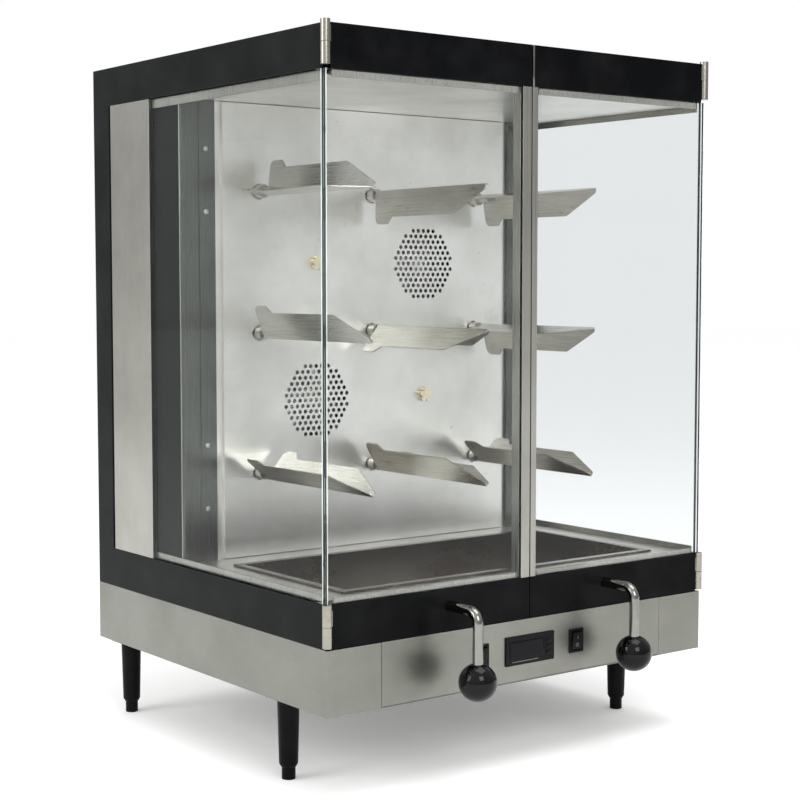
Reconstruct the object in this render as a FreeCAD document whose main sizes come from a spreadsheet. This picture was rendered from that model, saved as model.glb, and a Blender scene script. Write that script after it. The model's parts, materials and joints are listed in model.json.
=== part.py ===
"""Counter-top rotisserie oven with nine separate spits, two glass doors and a heated rear chamber.

Millimetres, +Z up.  The origin is on the counter, under the middle of the whole oven's box.
The doors face -Y, and the drive, fans and heaters stand behind the cavity's back wall.
"""
import FreeCAD, Part
import math
import os
import re

import Sketcher
from FreeCAD import Placement, Rotation, Vector

doc = FreeCAD.newDocument("rotisserie_oven")

# ---------------------------------------------------------------- driving dimensions
DIMENSIONS = """
cabinet_width 762
cabinet_depth 694
cabinet_height 973
leg_length 130
base_height 97
lower_band 65
upper_band 63
frame_thickness 25
sheet_gap 0.5
rear_post_width 55
steel_sheet 1.5
glass_thickness 6
glass_lap 8
glass_slack 0.5
glass_inset 1
side_glass_gap 2
side_strip_width 132
strip_flange 14
strip_gap 6
lining_gap 4
door_thickness 25
door_gap 2
door_seat_gap 1.5
slot_gap 0.2
back_room 1.5
meeting_gap 2
rail_wall 2
left_stile_width 17
right_stile_width 11
hinge_inset 2
barrel_diameter 14
hinge_pin_diameter 8
running_gap 0.05
hinge_rail_gap 10
cheek_thickness 3
barrel_rise 4
knuckle_gap 0.4
knuckle_foot 0.5
leaf_end_gap 8
pin_roof 4
knuckle_height 31
leaf_thickness 2
handle_spread 320
handle_height 136
handle_reach 67
handle_rod 15.6
handle_bend 18
knob_diameter 57
knob_height 33
cam_depth 18
cam_length 24
cam_width 12
cam_thickness 4
chamber_depth 280
baffle_stand 6
baffle_sheet 1.2
channel_width 61
baffle_side_gap 14
baffle_end_gap 1
vent_diameter 138
vent_hole 7
vent_pitch 11
stud_diameter 6
stud_hole 7
stud_stand 2
stud_tail 8
thumb_head 15
thumb_lobe 9
thumb_circle 16
thumb_thickness 9
side_room 144
head_room 147
floor_room 140
blade_room 103
blade_leg 45
blade_heel 57
blade_heel_run 34
blade_corner 11
blade_sheet 2
blade_nest 7
blade_taper 78
blade_tip 9
blade_wall_gap 6
stub_diameter 12
stub_run 24
socket_diameter 22
socket_length 15
socket_floor 2
socket_wall_gap 3
baffle_hole_gap 2
spindle_hole_gap 1
spindle_diameter 16
spindle_length 90
motor_spindle_length 150
bearing_flange 44
bearing_boss 30
bearing_length 20
flange_sheet 5
sprocket_tip 64
sprocket_width 6
tooth_height 5
column_chain_plane 58
cross_chain_plane 74
chain_slack 0.4
chain_width 8
chain_thickness 6
fan_diameter 116
fan_width 22
fan_wall_gap 8
fan_shaft 8
fan_disc 2
fan_hub 24
fan_hub_gap 4
vane_sheet 1.5
vane_start 40
fan_motor_diameter 70
fan_motor_length 68
fan_motor_plane 46
fan_flange 152
fan_plate 3
shaft_end_gap 1
inlet_inset 4
standoff_circle 140
standoff_diameter 7
heater_circle 160
heater_rod 8
heater_pitch 12
heater_wall_gap 14
gearbox_width 120
gearbox_plane 100
gearbox_length 62
gearmotor_diameter 84
gearmotor_length 88
post_diameter 12
post_spread 36
post_gap 5.6
ceiling_drop 5
ceiling_upstand 12
ceiling_start 2
channel_gap 1.5
channel_face 3.2
groove_depth 1.6
groove_width 2
ledge_side 48
ledge_front 34
ledge_rear 72
tub_depth 42
pan_slack 3
pan_floor_gap 1
pan_seat_gap 0.3
pan_sheet 1.2
pan_lip 9
pan_lip_height 3
panel_width 569
panel_slack 0.5
controller_width 99
controller_height 45
controller_bezel 3
controller_depth 60
bezel_lap 4
control_height 50
switch_spread 196
switch_width 30
switch_height 38
switch_depth 26
switch_lip 2
rocker_width 19
rocker_height 27
rocker_depth 8
rocker_slack 1
rocker_stand 0.5
rocker_tilt 8
leg_inset_side 38
leg_inset_front 157
leg_inset_rear 42
leg_top_diameter 34
leg_low_diameter 29
leg_flange 52
leg_flange_sheet 6
leg_shoulder 6
foot_diameter 22
foot_height 18
foot_step 1
foot_stem 10
foot_stem_length 50
gland_diameter 28
gland_bore 12
gland_wall 3
gland_tail 4
gland_reach 18
gland_offset 250
gland_height 45
bead_gap 1
bead_start 1
bead_top 15
bead_low 11
cover_drop 3
louvre_offset 140
louvre_length 140
louvre_slot 6
louvre_pitch 22
"""

# ---------------------------------------------------------------- places worked out from them
LAYOUT = """
half_width = cabinet_width / 2
knob_front = handle_reach + knob_diameter / 2
front = knob_front - (knob_front + cabinet_depth + gland_reach) / 2
rear = front + cabinet_depth
base_top = leg_length + base_height
sill_top = base_top + lower_band
body_top = leg_length + cabinet_height
head_bottom = body_top - upper_band
door_back = front + door_thickness
frame_front = door_back + door_gap
frame_inside = half_width - frame_thickness
strip_rear = rear - rear_post_width - strip_gap
strip_front = strip_rear - side_strip_width
glass_front = front + door_seat_gap
side_glass_front = max(glass_front + glass_thickness; hinge_y + barrel_diameter / 2) + side_glass_gap
glass_low = sill_top - glass_lap
glass_high = head_bottom + glass_lap
lining = half_width - glass_inset - glass_thickness - lining_gap
cavity_depth = cabinet_depth - chamber_depth
wall = front + cavity_depth
partition = wall + baffle_stand
partition_back = partition + steel_sheet
ceiling = head_bottom - ceiling_drop
floor_top = sill_top + steel_sheet
baffle_width = 2 * (lining - channel_gap - channel_width - baffle_side_gap)
column_pitch = lining - side_room
spit_low = sill_top + floor_room
spit_high = head_bottom - head_room
spit_middle = (spit_low + spit_high) / 2
row_pitch = (spit_high - spit_low) / 2
blade_reach = cavity_depth - blade_room
post_rise = sprocket_tip + post_diameter + 2 * (chain_slack + chain_thickness + post_gap)
cover_side = frame_inside - sheet_gap
hinge_x = half_width - hinge_inset
hinge_y = front + hinge_inset
rail_start = half_width - hinge_rail_gap
handle_x = handle_spread / 2
handle_z = leg_length + handle_height
knob_z = leg_length + knob_height
tub_half = half_width - frame_thickness - ledge_side
tub_front = frame_front + ledge_front
tub_rear = wall - ledge_rear
tub_bottom = sill_top - tub_depth
control_z = leg_length + control_height
"""

VENTS = {"upper": (1, "spit_middle + row_pitch / 2"), "lower": (-1, "spit_low + row_pitch / 2")}
COLUMNS = (-1, 0, 1)
ROWS = ("spit_high", "spit_middle", "spit_low")
BLADE_ROLLS = (-84, 90, 170, -20, 130, 165, -50, -30, -45)
DRIVE_SPIT = 5
SPROCKET_TEETH = 16
FAN_BLADES = 14
LOUVRES = (-6, -5, -4, -3, -2, 2, 3, 4, 5, 6)
NUT_LOBES = 5
STANDOFFS = 4

home = {}
pieces = {}


def fill_sheet(name, rows):
    """Make a spreadsheet with one alias a row, and remember which sheet holds each name."""
    sheet = doc.addObject("Spreadsheet::Sheet", name)
    for row, (alias, content) in enumerate(rows, start=1):
        sheet.set(f"A{row}", alias)
        sheet.set(f"B{row}", content)
        sheet.setAlias(f"B{row}", alias)
        home[alias] = sheet
    doc.recompute()
    return sheet


def with_sheets(expression):
    """Put the sheet's name in front of every size that an expression mentions."""
    def full_name(match):
        word = match.group(0)
        return f"{home[word].Name}.{word}" if word in home else word
    return re.sub(r"[a-z_][a-z0-9_]*", full_name, str(expression))


def size(alias):
    return float(home[alias].get(alias))


def bind(piece, target, expression):
    piece.setExpression(target, with_sheets(expression))


def place(piece, x=0, y=0, z=0, turn=None):
    piece.Placement = Placement(Vector(), turn or Rotation())
    for axis, expression in zip("xyz", (x, y, z)):
        bind(piece, f"Placement.Base.{axis}", expression)
    return piece


def box(name, x, y, z):
    """A block between two faces along each axis."""
    block = doc.addObject("Part::Box", name)
    place(block, x[0], y[0], z[0])
    for edge, (low, high) in zip(("Length", "Width", "Height"), (x, y, z)):
        bind(block, edge, f"({high}) - ({low})")
    return block


ALONG = {
    "x": Rotation(Vector(0, 1, 0), 90),
    "y": Rotation(Vector(1, 0, 0), -90),
    "z": Rotation(),
}


def rod(name, axis, diameter, length, x, y, z):
    """A round bar that starts at x, y, z and runs along one axis."""
    bar = doc.addObject("Part::Cylinder", name)
    bind(bar, "Radius", f"({diameter}) / 2")
    bind(bar, "Height", length)
    return place(bar, x, y, z, ALONG[axis])


def taper(name, low_diameter, high_diameter, height, x, y, z):
    cone = doc.addObject("Part::Cone", name)
    bind(cone, "Radius1", f"({low_diameter}) / 2")
    bind(cone, "Radius2", f"({high_diameter}) / 2")
    bind(cone, "Height", height)
    return place(cone, x, y, z)


def fuse(name, *parts):
    joined = doc.addObject("Part::MultiFuse", name)
    joined.Shapes = list(parts)
    joined.Refine = True
    return joined


def cut(name, base, *tools):
    remains = doc.addObject("Part::Cut", name)
    remains.Base = base
    remains.Tool = tools[0] if len(tools) == 1 else fuse(f"{name}_tools", *tools)
    return remains


def mirrored(name, source):
    """The same piece on the oven's other side."""
    twin = doc.addObject("Part::Mirroring", name)
    twin.Source = source
    twin.Normal = Vector(1, 0, 0)
    return twin


def group(name, *parts):
    together = doc.addObject("Part::Compound", name)
    together.Links = list(parts)
    return together


def both_sides(name, source):
    return group(name, source, mirrored(f"{name}_right", source))


def feature(name, shape):
    solid = doc.addObject("Part::Feature", name)
    solid.Shape = shape
    return solid


def node(name, piece):
    """Name a finished sub-part: its label is the name of its file."""
    piece.Label = name
    pieces[name] = piece
    return piece


def rectangle(sketch, low, high, across, up):
    """Four constrained lines whose corners follow the sheet."""
    corners = [(low, across), (high, across), (high, up), (low, up)]
    first = sketch.GeometryCount
    start = [Vector(0, 0, 0), Vector(10, 0, 0), Vector(10, 10, 0), Vector(0, 10, 0)]
    for index in range(4):
        sketch.addGeometry(Part.LineSegment(start[index], start[(index + 1) % 4]), False)
    for index in range(4):
        after = first + (index + 1) % 4
        sketch.addConstraint(Sketcher.Constraint("Coincident", first + index, 2, after, 1))
    for index in (0, 2):
        sketch.addConstraint(Sketcher.Constraint("Horizontal", first + index))
        sketch.addConstraint(Sketcher.Constraint("Vertical", first + index + 1))
    for corner in (0, 2):
        for kind, expression in zip(("DistanceX", "DistanceY"), corners[corner]):
            spot = sketch.addConstraint(Sketcher.Constraint(kind, -1, 1, first + corner, 1, 1.0))
            bind(sketch, f"Constraints[{spot}]", expression)


def body_sketch(body, name, plane):
    sketch = body.newObject("Sketcher::SketchObject", name)
    base = next(item for item in body.Origin.OriginFeatures if item.Role == plane)
    sketch.AttachmentSupport = [(base, "")]
    sketch.MapMode = "FlatFace"
    return sketch


def panel_body(name, outline, thickness, y):
    """A sheet that stands across the oven: a pad of one outline drawn in the XZ plane."""
    body = doc.addObject("PartDesign::Body", name)
    sketch = body_sketch(body, f"{name}_outline", "XZ_Plane")
    rectangle(sketch, *outline)
    pad = body.newObject("PartDesign::Pad", f"{name}_sheet")
    pad.Profile = sketch
    pad.Reversed = True
    bind(pad, "Length", thickness)
    place(body, 0, y, 0)
    doc.recompute()
    return body


def pocket(body, name, windows):
    """Cut rectangular windows through a standing sheet, and check that they did cut it."""
    sketch = body_sketch(body, f"{name}_outline", "XZ_Plane")
    for window in windows:
        rectangle(sketch, *window)
    before = body.Shape.Volume
    hole = body.newObject("PartDesign::Pocket", name)
    hole.Profile = sketch
    hole.Type = "ThroughAll"
    hole.Midplane = True
    doc.recompute()
    if body.Shape.Volume > before - 1.0:
        raise RuntimeError(f"{name} removed nothing")
    return hole


fill_sheet("Dimensions", [line.split() for line in DIMENSIONS.strip().splitlines()])
layout_rows = []
for line in LAYOUT.strip().splitlines():
    alias, expression = line.split(" = ")
    layout_rows.append((alias, expression))
layout = doc.addObject("Spreadsheet::Sheet", "Layout")
for row, (alias, expression) in enumerate(layout_rows, start=1):
    layout.set(f"A{row}", alias)
    layout.set(f"B{row}", "=" + re.sub(r"Layout\.", "", with_sheets(expression)))
    layout.setAlias(f"B{row}", alias)
    home[alias] = layout
doc.recompute()


# ---------------------------------------------------------------- base, controls, legs
def base_and_controls():
    shell = cut(
        "base_shell",
        box("base_block", ("-half_width", "half_width"), ("front", "rear"), ("leg_length", "base_top")),
        box("base_hollow",
            ("steel_sheet - half_width", "half_width - steel_sheet"),
            ("front + steel_sheet", "rear - steel_sheet"),
            ("leg_length + steel_sheet", "base_top")),
        box("panel_window",
            ("-panel_width / 2 - panel_slack", "panel_width / 2 + panel_slack"),
            ("front", "front + steel_sheet"),
            ("leg_length + steel_sheet", "base_top")),
        rod("gland_hole", "y", "gland_bore + 2 * gland_wall", "steel_sheet",
            "gland_offset", "rear - steel_sheet", "leg_length + gland_height"))
    node("base_housing", shell)

    panel = panel_body(
        "control_sheet",
        ("-panel_width / 2", "panel_width / 2", "leg_length + steel_sheet + panel_slack", "base_top"),
        "steel_sheet", "front")
    windows = [(
        "bezel_lap - controller_width / 2", "controller_width / 2 - bezel_lap",
        "control_z + bezel_lap - controller_height / 2",
        "control_z + controller_height / 2 - bezel_lap")]
    for side in (-1, 1):
        middle = f"{side} * switch_spread / 2"
        windows.append((
            f"{middle} + bezel_lap - switch_width / 2", f"{middle} + switch_width / 2 - bezel_lap",
            "control_z + bezel_lap / 2 - switch_height / 2",
            "control_z + switch_height / 2 - bezel_lap / 2"))
    pocket(panel, "control_windows", windows)
    node("control_panel", panel)

    bezel = box("controller_face",
                ("-controller_width / 2", "controller_width / 2"),
                ("front - controller_bezel", "front"),
                ("control_z - controller_height / 2", "control_z + controller_height / 2"))
    case = box("controller_case",
               ("bezel_lap - controller_width / 2", "controller_width / 2 - bezel_lap"),
               ("front", "front + controller_depth"),
               ("control_z + bezel_lap - controller_height / 2",
                "control_z + controller_height / 2 - bezel_lap"))
    node("controller", fuse("controller_unit", bezel, case))

    housings = []
    for side, name in ((-1, "left"), (1, "right")):
        middle = f"{side} * switch_spread / 2"
        collar = box(f"{name}_switch_collar",
                     (f"{middle} - switch_width / 2", f"{middle} + switch_width / 2"),
                     ("front - switch_lip", "front"),
                     ("control_z - switch_height / 2", "control_z + switch_height / 2"))
        case = box(f"{name}_switch_case",
                   (f"{middle} + bezel_lap - switch_width / 2", f"{middle} + switch_width / 2 - bezel_lap"),
                   ("front", "front + switch_depth"),
                   ("control_z + bezel_lap / 2 - switch_height / 2",
                    "control_z + switch_height / 2 - bezel_lap / 2"))
        well = box(f"{name}_switch_well",
                   (f"{middle} - rocker_width / 2 - rocker_slack",
                    f"{middle} + rocker_width / 2 + rocker_slack"),
                   ("front - switch_lip", "front + rocker_depth"),
                   ("control_z - rocker_height / 2 - 2 * rocker_slack",
                    "control_z + rocker_height / 2 + 2 * rocker_slack"))
        housings.append(cut(f"{name}_switch_body", fuse(f"{name}_switch_solid", collar, case), well))

        rocker = doc.addObject("Part::Box", f"{name}_rocker_block")
        bind(rocker, "Length", "rocker_width")
        bind(rocker, "Width", "rocker_depth")
        bind(rocker, "Height", "rocker_height")
        bind(rocker, "Placement.Base.x", "-rocker_width / 2")
        bind(rocker, "Placement.Base.y", "-rocker_depth / 2 - rocker_stand")
        bind(rocker, "Placement.Base.z", "-rocker_height / 2")
        paddle = group(f"{name}_rocker_piece", rocker)
        place(paddle, middle, "front", "control_z", Rotation(Vector(1, 0, 0), size("rocker_tilt")))
        node(f"{name}_rocker", paddle)
    node("switch_housings", group("switch_bodies", *housings))

    columns, shoes = [], []
    for side, across in (("left", -1), ("right", 1)):
        for end, y in (("front", "front + leg_inset_front"), ("rear", "rear - leg_inset_rear")):
            name = f"{side}_{end}_leg"
            x = f"{across} * (half_width - leg_inset_side)"
            column = fuse(
                f"{name}_solid",
                box(f"{name}_flange", (f"{x} - leg_flange / 2", f"{x} + leg_flange / 2"),
                    (f"{y} - leg_flange / 2", f"{y} + leg_flange / 2"),
                    ("leg_length - leg_flange_sheet", "leg_length")),
                taper(f"{name}_column", "leg_low_diameter", "leg_top_diameter",
                      "leg_length - leg_flange_sheet - foot_height - leg_shoulder",
                      x, y, "foot_height + leg_shoulder"),
                taper(f"{name}_shoulder", "foot_diameter", "leg_low_diameter", "leg_shoulder",
                      x, y, "foot_height"))
            thread = rod(f"{name}_thread", "z", "foot_stem", "foot_stem_length", x, y, "foot_height")
            columns.append(cut(name, column, thread))
            pad = rod(f"{name}_pad", "z", "foot_diameter - foot_step", "foot_height", x, y, 0)
            stem = rod(f"{name}_stem", "z", "foot_stem", "foot_stem_length", x, y, "foot_height")
            shoes.append(fuse(f"{name}_foot", pad, stem))
    node("legs", group("leg_set", *columns))
    node("feet", group("foot_set", *shoes))

    gland = fuse(
        "gland_solid",
        rod("gland_dome", "y", "gland_diameter", "gland_reach",
            "gland_offset", "rear", "leg_length + gland_height"),
        rod("gland_neck", "y", "gland_bore + 2 * gland_wall", "steel_sheet + gland_tail",
            "gland_offset", "rear - steel_sheet - gland_tail", "leg_length + gland_height"))
    bore = rod("gland_way", "y", "gland_bore", "gland_reach + steel_sheet + gland_tail",
               "gland_offset", "rear - steel_sheet - gland_tail", "leg_length + gland_height")
    node("cable_gland", cut("gland_piece", gland, bore))


# ---------------------------------------------------------------- cabinet frame, covers, side glass
def cabinet():
    outside = ("-half_width", "-frame_inside")
    cheek = ("-half_width", "cheek_thickness - half_width")
    cheek_run = ("hinge_y + barrel_diameter / 2 + knuckle_gap", "frame_front")
    bars = fuse(
        "left_frame_bars",
        box("left_lower_bar", outside, ("frame_front", "rear"), ("base_top", "sill_top")),
        box("left_upper_bar", outside, ("frame_front", "rear"), ("head_bottom", "body_top")),
        box("left_rear_post", outside, ("rear - rear_post_width", "rear"), ("sill_top", "head_bottom")),
        box("left_lower_cheek", cheek, cheek_run, ("base_top", "sill_top")),
        box("left_upper_cheek", cheek, cheek_run, ("head_bottom", "body_top")))
    slot = box(
        "left_glass_slot",
        ("glass_inset - glass_slack - half_width",
         "glass_inset + glass_thickness + glass_slack - half_width"),
        ("frame_front", "strip_front"),
        ("glass_low - glass_slack", "glass_high + glass_slack"))
    node("side_frames", both_sides("frame_pair", cut("left_frame", bars, slot)))

    across = ("glass_inset - half_width", "glass_inset + glass_thickness - half_width")
    pane = fuse(
        "left_side_pane",
        box("left_side_pane_seat", across, ("frame_front", "strip_front - glass_slack"),
            ("glass_low", "glass_high")),
        box("left_side_pane_front", across, ("side_glass_front", "frame_front"),
            ("sill_top", "head_bottom")))
    node("side_glasses", both_sides("side_pane_pair", pane))

    sheet = ("-half_width", "steel_sheet - half_width")
    flange = ("-half_width", "strip_flange - half_width")
    height = ("sill_top", "head_bottom")
    strip = fuse(
        "left_strip",
        box("left_strip_face", sheet, ("strip_front", "strip_rear"), height),
        box("left_strip_front_flange", flange, ("strip_front", "strip_front + steel_sheet"), height),
        box("left_strip_rear_flange", flange, ("strip_rear - steel_sheet", "strip_rear"), height))
    node("rear_side_panels", both_sides("strip_pair", strip))

    bead = ("glass_inset + glass_thickness + bead_gap - half_width", "-lining - bead_gap")
    run = ("side_glass_front + bead_start", "strip_front - bead_gap")
    beads = group(
        "left_beads",
        box("left_top_bead", bead, run, ("head_bottom - bead_top", "head_bottom")),
        box("left_low_bead", bead, run, ("sill_top", "sill_top + bead_low")))
    node("glazing_strips", both_sides("bead_pair", beads))

    width = ("-cover_side", "cover_side")
    cover = fuse(
        "top_cover_sheet",
        box("top_cover_plate", width, ("frame_front", "rear - steel_sheet - sheet_gap"),
            ("body_top - cover_drop", "body_top - cover_drop + steel_sheet")),
        box("top_cover_header", width, ("frame_front", "frame_front + steel_sheet"),
            ("head_bottom", "body_top - cover_drop")))
    node("top_cover", cover)

    back = panel_body(
        "rear_cover_body", ("-cover_side", "cover_side", "base_top + sheet_gap", "body_top"),
        "steel_sheet", "rear - steel_sheet")
    slots = []
    for side in (-1, 1):
        ends = [f"{side} * louvre_offset {sign} louvre_length / 2" for sign in "-+"]
        for level in LOUVRES:
            edges = [f"spit_middle + {level} * louvre_pitch {sign} louvre_slot / 2" for sign in "-+"]
            slots.append((*ends, *edges))
    pocket(back, "louvre_slots", slots)
    node("rear_cover", back)


# ---------------------------------------------------------------- cavity lining
def spindle_holes(prefix, diameter, length, y):
    holes = []
    for column in COLUMNS:
        for row in ROWS:
            holes.append(rod(f"{prefix}_{row}_{column + 1}", "y", diameter, length,
                             f"{column} * column_pitch", y, row))
    return holes


def thumb_screw_spots():
    """The baffle's screws stand in the two cell centres that the vents leave free."""
    return [(-VENTS[level][0], VENTS[level][1]) for level in VENTS]


def cavity():
    lining = ("-lining", "lining")
    ceiling = fuse(
        "ceiling_sheet",
        box("ceiling_plate", lining, ("frame_front + ceiling_start", "partition"),
            ("ceiling", "ceiling + steel_sheet")),
        box("ceiling_flange", ("-cover_side", "cover_side"),
            ("frame_front + ceiling_start", "frame_front + ceiling_start + steel_sheet"),
            ("ceiling", "head_bottom + ceiling_upstand")))
    node("ceiling_panel", ceiling)

    wall_height = ("sill_top", "ceiling")
    wall = box("partition_plate", lining, ("partition", "partition_back"), wall_height)
    flange_run = ("partition", "strip_front - bead_gap")
    flanges = [
        box("partition_left_flange", ("-lining", "steel_sheet - lining"), flange_run, wall_height),
        box("partition_right_flange", ("lining - steel_sheet", "lining"), flange_run, wall_height)]
    openings = spindle_holes("partition_spindle", "spindle_diameter + 2 * spindle_hole_gap",
                             "steel_sheet", "partition")
    for level, (side, z) in VENTS.items():
        openings.append(rod(f"{level}_inlet", "y", "vent_diameter - 2 * inlet_inset", "steel_sheet",
                            f"{side} * column_pitch / 2", "partition", z))
    for index, (side, z) in enumerate(thumb_screw_spots()):
        openings.append(rod(f"partition_stud_{index}", "y", "stud_hole", "steel_sheet",
                            f"{side} * column_pitch / 2", "partition", z))
    node("partition_wall", cut("partition_sheet", fuse("partition_solid", wall, *flanges), *openings))

    node("back_baffle", feature("baffle_sheet_metal", baffle_shape()))

    screws = []
    for index, (side, z) in enumerate(thumb_screw_spots()):
        x = f"{side} * column_pitch / 2"
        shank = rod(f"thumb_shank_{index}", "y", "stud_diameter",
                    "stud_stand + baffle_stand + steel_sheet + stud_tail", x, "wall - stud_stand", z)
        core = rod(f"thumb_core_{index}", "y", "thumb_head", "thumb_thickness",
                   x, "wall - thumb_thickness", z)
        lobes = []
        for lobe in range(NUT_LOBES):
            angle = 2 * math.pi * lobe / NUT_LOBES
            lobes.append(rod(f"thumb_lobe_{index}_{lobe}", "y", "thumb_lobe", "thumb_thickness",
                             f"{x} + thumb_circle / 2 * {math.sin(angle):.6f}", "wall - thumb_thickness",
                             f"{z} + thumb_circle / 2 * {math.cos(angle):.6f}"))
        screws.append(fuse(f"thumb_screw_{index}", shank, core, *lobes))
    node("baffle_nuts", group("thumb_screws", *screws))

    low, high = "channel_gap - lining", "channel_gap + channel_width - lining"
    height = ("floor_top", "ceiling")
    channel = cut(
        "left_channel",
        box("left_channel_block", (low, high), ("wall", "partition"), height),
        box("left_channel_hollow", (f"{low} + steel_sheet", f"{high} - steel_sheet"),
            ("wall + channel_face", "partition"), height),
        box("left_channel_groove",
            (f"({low} + {high} - groove_width) / 2", f"({low} + {high} + groove_width) / 2"),
            ("wall", "wall + groove_depth"), height))
    node("corner_channels", both_sides("channel_pair", channel))

    ledge = fuse(
        "floor_solid",
        box("floor_ledge", lining, ("frame_front", "partition"), ("sill_top", "floor_top")),
        box("floor_apron", ("-cover_side", "cover_side"),
            ("frame_front", "frame_front + steel_sheet"), ("base_top", "floor_top")),
        box("floor_tub", ("-tub_half - steel_sheet", "tub_half + steel_sheet"),
            ("tub_front - steel_sheet", "tub_rear + steel_sheet"),
            ("tub_bottom - steel_sheet", "floor_top")))
    tub = box("floor_tub_hollow", ("-tub_half", "tub_half"), ("tub_front", "tub_rear"),
              ("tub_bottom", "floor_top"))
    node("cavity_floor", cut("floor_sheet", ledge, tub))

    inner = ("pan_slack + pan_sheet - tub_half", "tub_half - pan_slack - pan_sheet")
    inner_run = ("tub_front + pan_slack + pan_sheet", "tub_rear - pan_slack - pan_sheet")
    lip = ("floor_top + pan_seat_gap", "floor_top + pan_seat_gap + pan_lip_height")
    tray = fuse(
        "pan_solid",
        box("pan_block", ("pan_slack - tub_half", "tub_half - pan_slack"),
            ("tub_front + pan_slack", "tub_rear - pan_slack"), ("tub_bottom + pan_floor_gap", lip[1])),
        box("pan_lip_frame", ("-tub_half - pan_lip", "tub_half + pan_lip"),
            ("tub_front - pan_lip", "tub_rear + pan_lip"), lip))
    hollow = box("pan_hollow", inner, inner_run, ("tub_bottom + pan_floor_gap + pan_sheet", lip[1]))
    node("drip_pan", cut("pan_sheet_metal", tray, hollow))


def vent_centres():
    """Hole centres of one vent: a triangular grid inside its circle, from the vent's middle."""
    pitch, hole = size("vent_pitch"), size("vent_hole")
    reach = size("vent_diameter") / 2 - hole / 2
    rows = int(reach / (pitch * math.sqrt(3) / 2))
    spots = []
    for row in range(-rows, rows + 1):
        shift = pitch / 2 if row % 2 else 0
        for column in range(-rows - 1, rows + 2):
            x, z = column * pitch + shift, row * pitch * math.sqrt(3) / 2
            if math.hypot(x, z) <= reach:
                spots.append((x, z))
    return spots


def baffle_shape():
    """The removable back sheet, with returns at its edges, spindle holes and two punched vents."""
    half, gap = size("baffle_width") / 2, size("baffle_end_gap")
    low, high = size("floor_top") + gap, size("ceiling") - gap
    y, thick, stand = size("wall"), size("baffle_sheet"), size("baffle_stand")
    corners = [Vector(-half, y, low), Vector(half, y, low), Vector(half, y, high), Vector(-half, y, high)]
    outline = Part.makePolygon(corners + corners[:1])
    along = Vector(0, 1, 0)
    socket_hole = size("socket_diameter") / 2 + size("baffle_hole_gap")
    holes = []
    for column in COLUMNS:
        for row in ROWS:
            centre = Vector(column * size("column_pitch"), y, size(row))
            holes.append(Part.makeCircle(socket_hole, centre, along))
    level_heights = {name: (side, size("spit_low" if name == "lower" else "spit_middle"))
                     for name, (side, _) in VENTS.items()}
    for side, row_height in level_heights.values():
        middle_x, middle_z = side * size("column_pitch") / 2, row_height + size("row_pitch") / 2
        for x, z in vent_centres():
            centre = Vector(middle_x + x, y, middle_z + z)
            holes.append(Part.makeCircle(size("vent_hole") / 2, centre, along))
        stud = Vector(-middle_x, y, middle_z)
        holes.append(Part.makeCircle(size("stud_hole") / 2, stud, along))
    face = Part.Face([outline] + [Part.Wire([hole]) for hole in holes])
    sheet = face.extrude(Vector(0, thick, 0))
    returns = []
    for x in (-half, half - thick):
        returns.append(Part.makeBox(thick, stand - thick, high - low, Vector(x, y + thick, low)))
    return sheet.multiFuse(returns).removeSplitter()


# ---------------------------------------------------------------- doors and handles
def door_rail(name, low, high, end, glass_band):
    """A black channel, open at the back, with a slot for the pane's edge and the handle's hole."""
    solid = box(f"{name}_block", ("-rail_start", end), ("front", "door_back"), (low, high))
    hollow = box(f"{name}_hollow", ("rail_wall - rail_start", f"{end} - rail_wall"),
                 ("front + rail_wall + glass_thickness + back_room", "door_back"),
                 (f"{low} + rail_wall", f"{high} - rail_wall"))
    slot = box(f"{name}_slot", ("-rail_start", f"{end}"),
               ("glass_front - slot_gap", "glass_front + glass_thickness + slot_gap"), glass_band)
    return solid, [hollow, slot]


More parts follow.
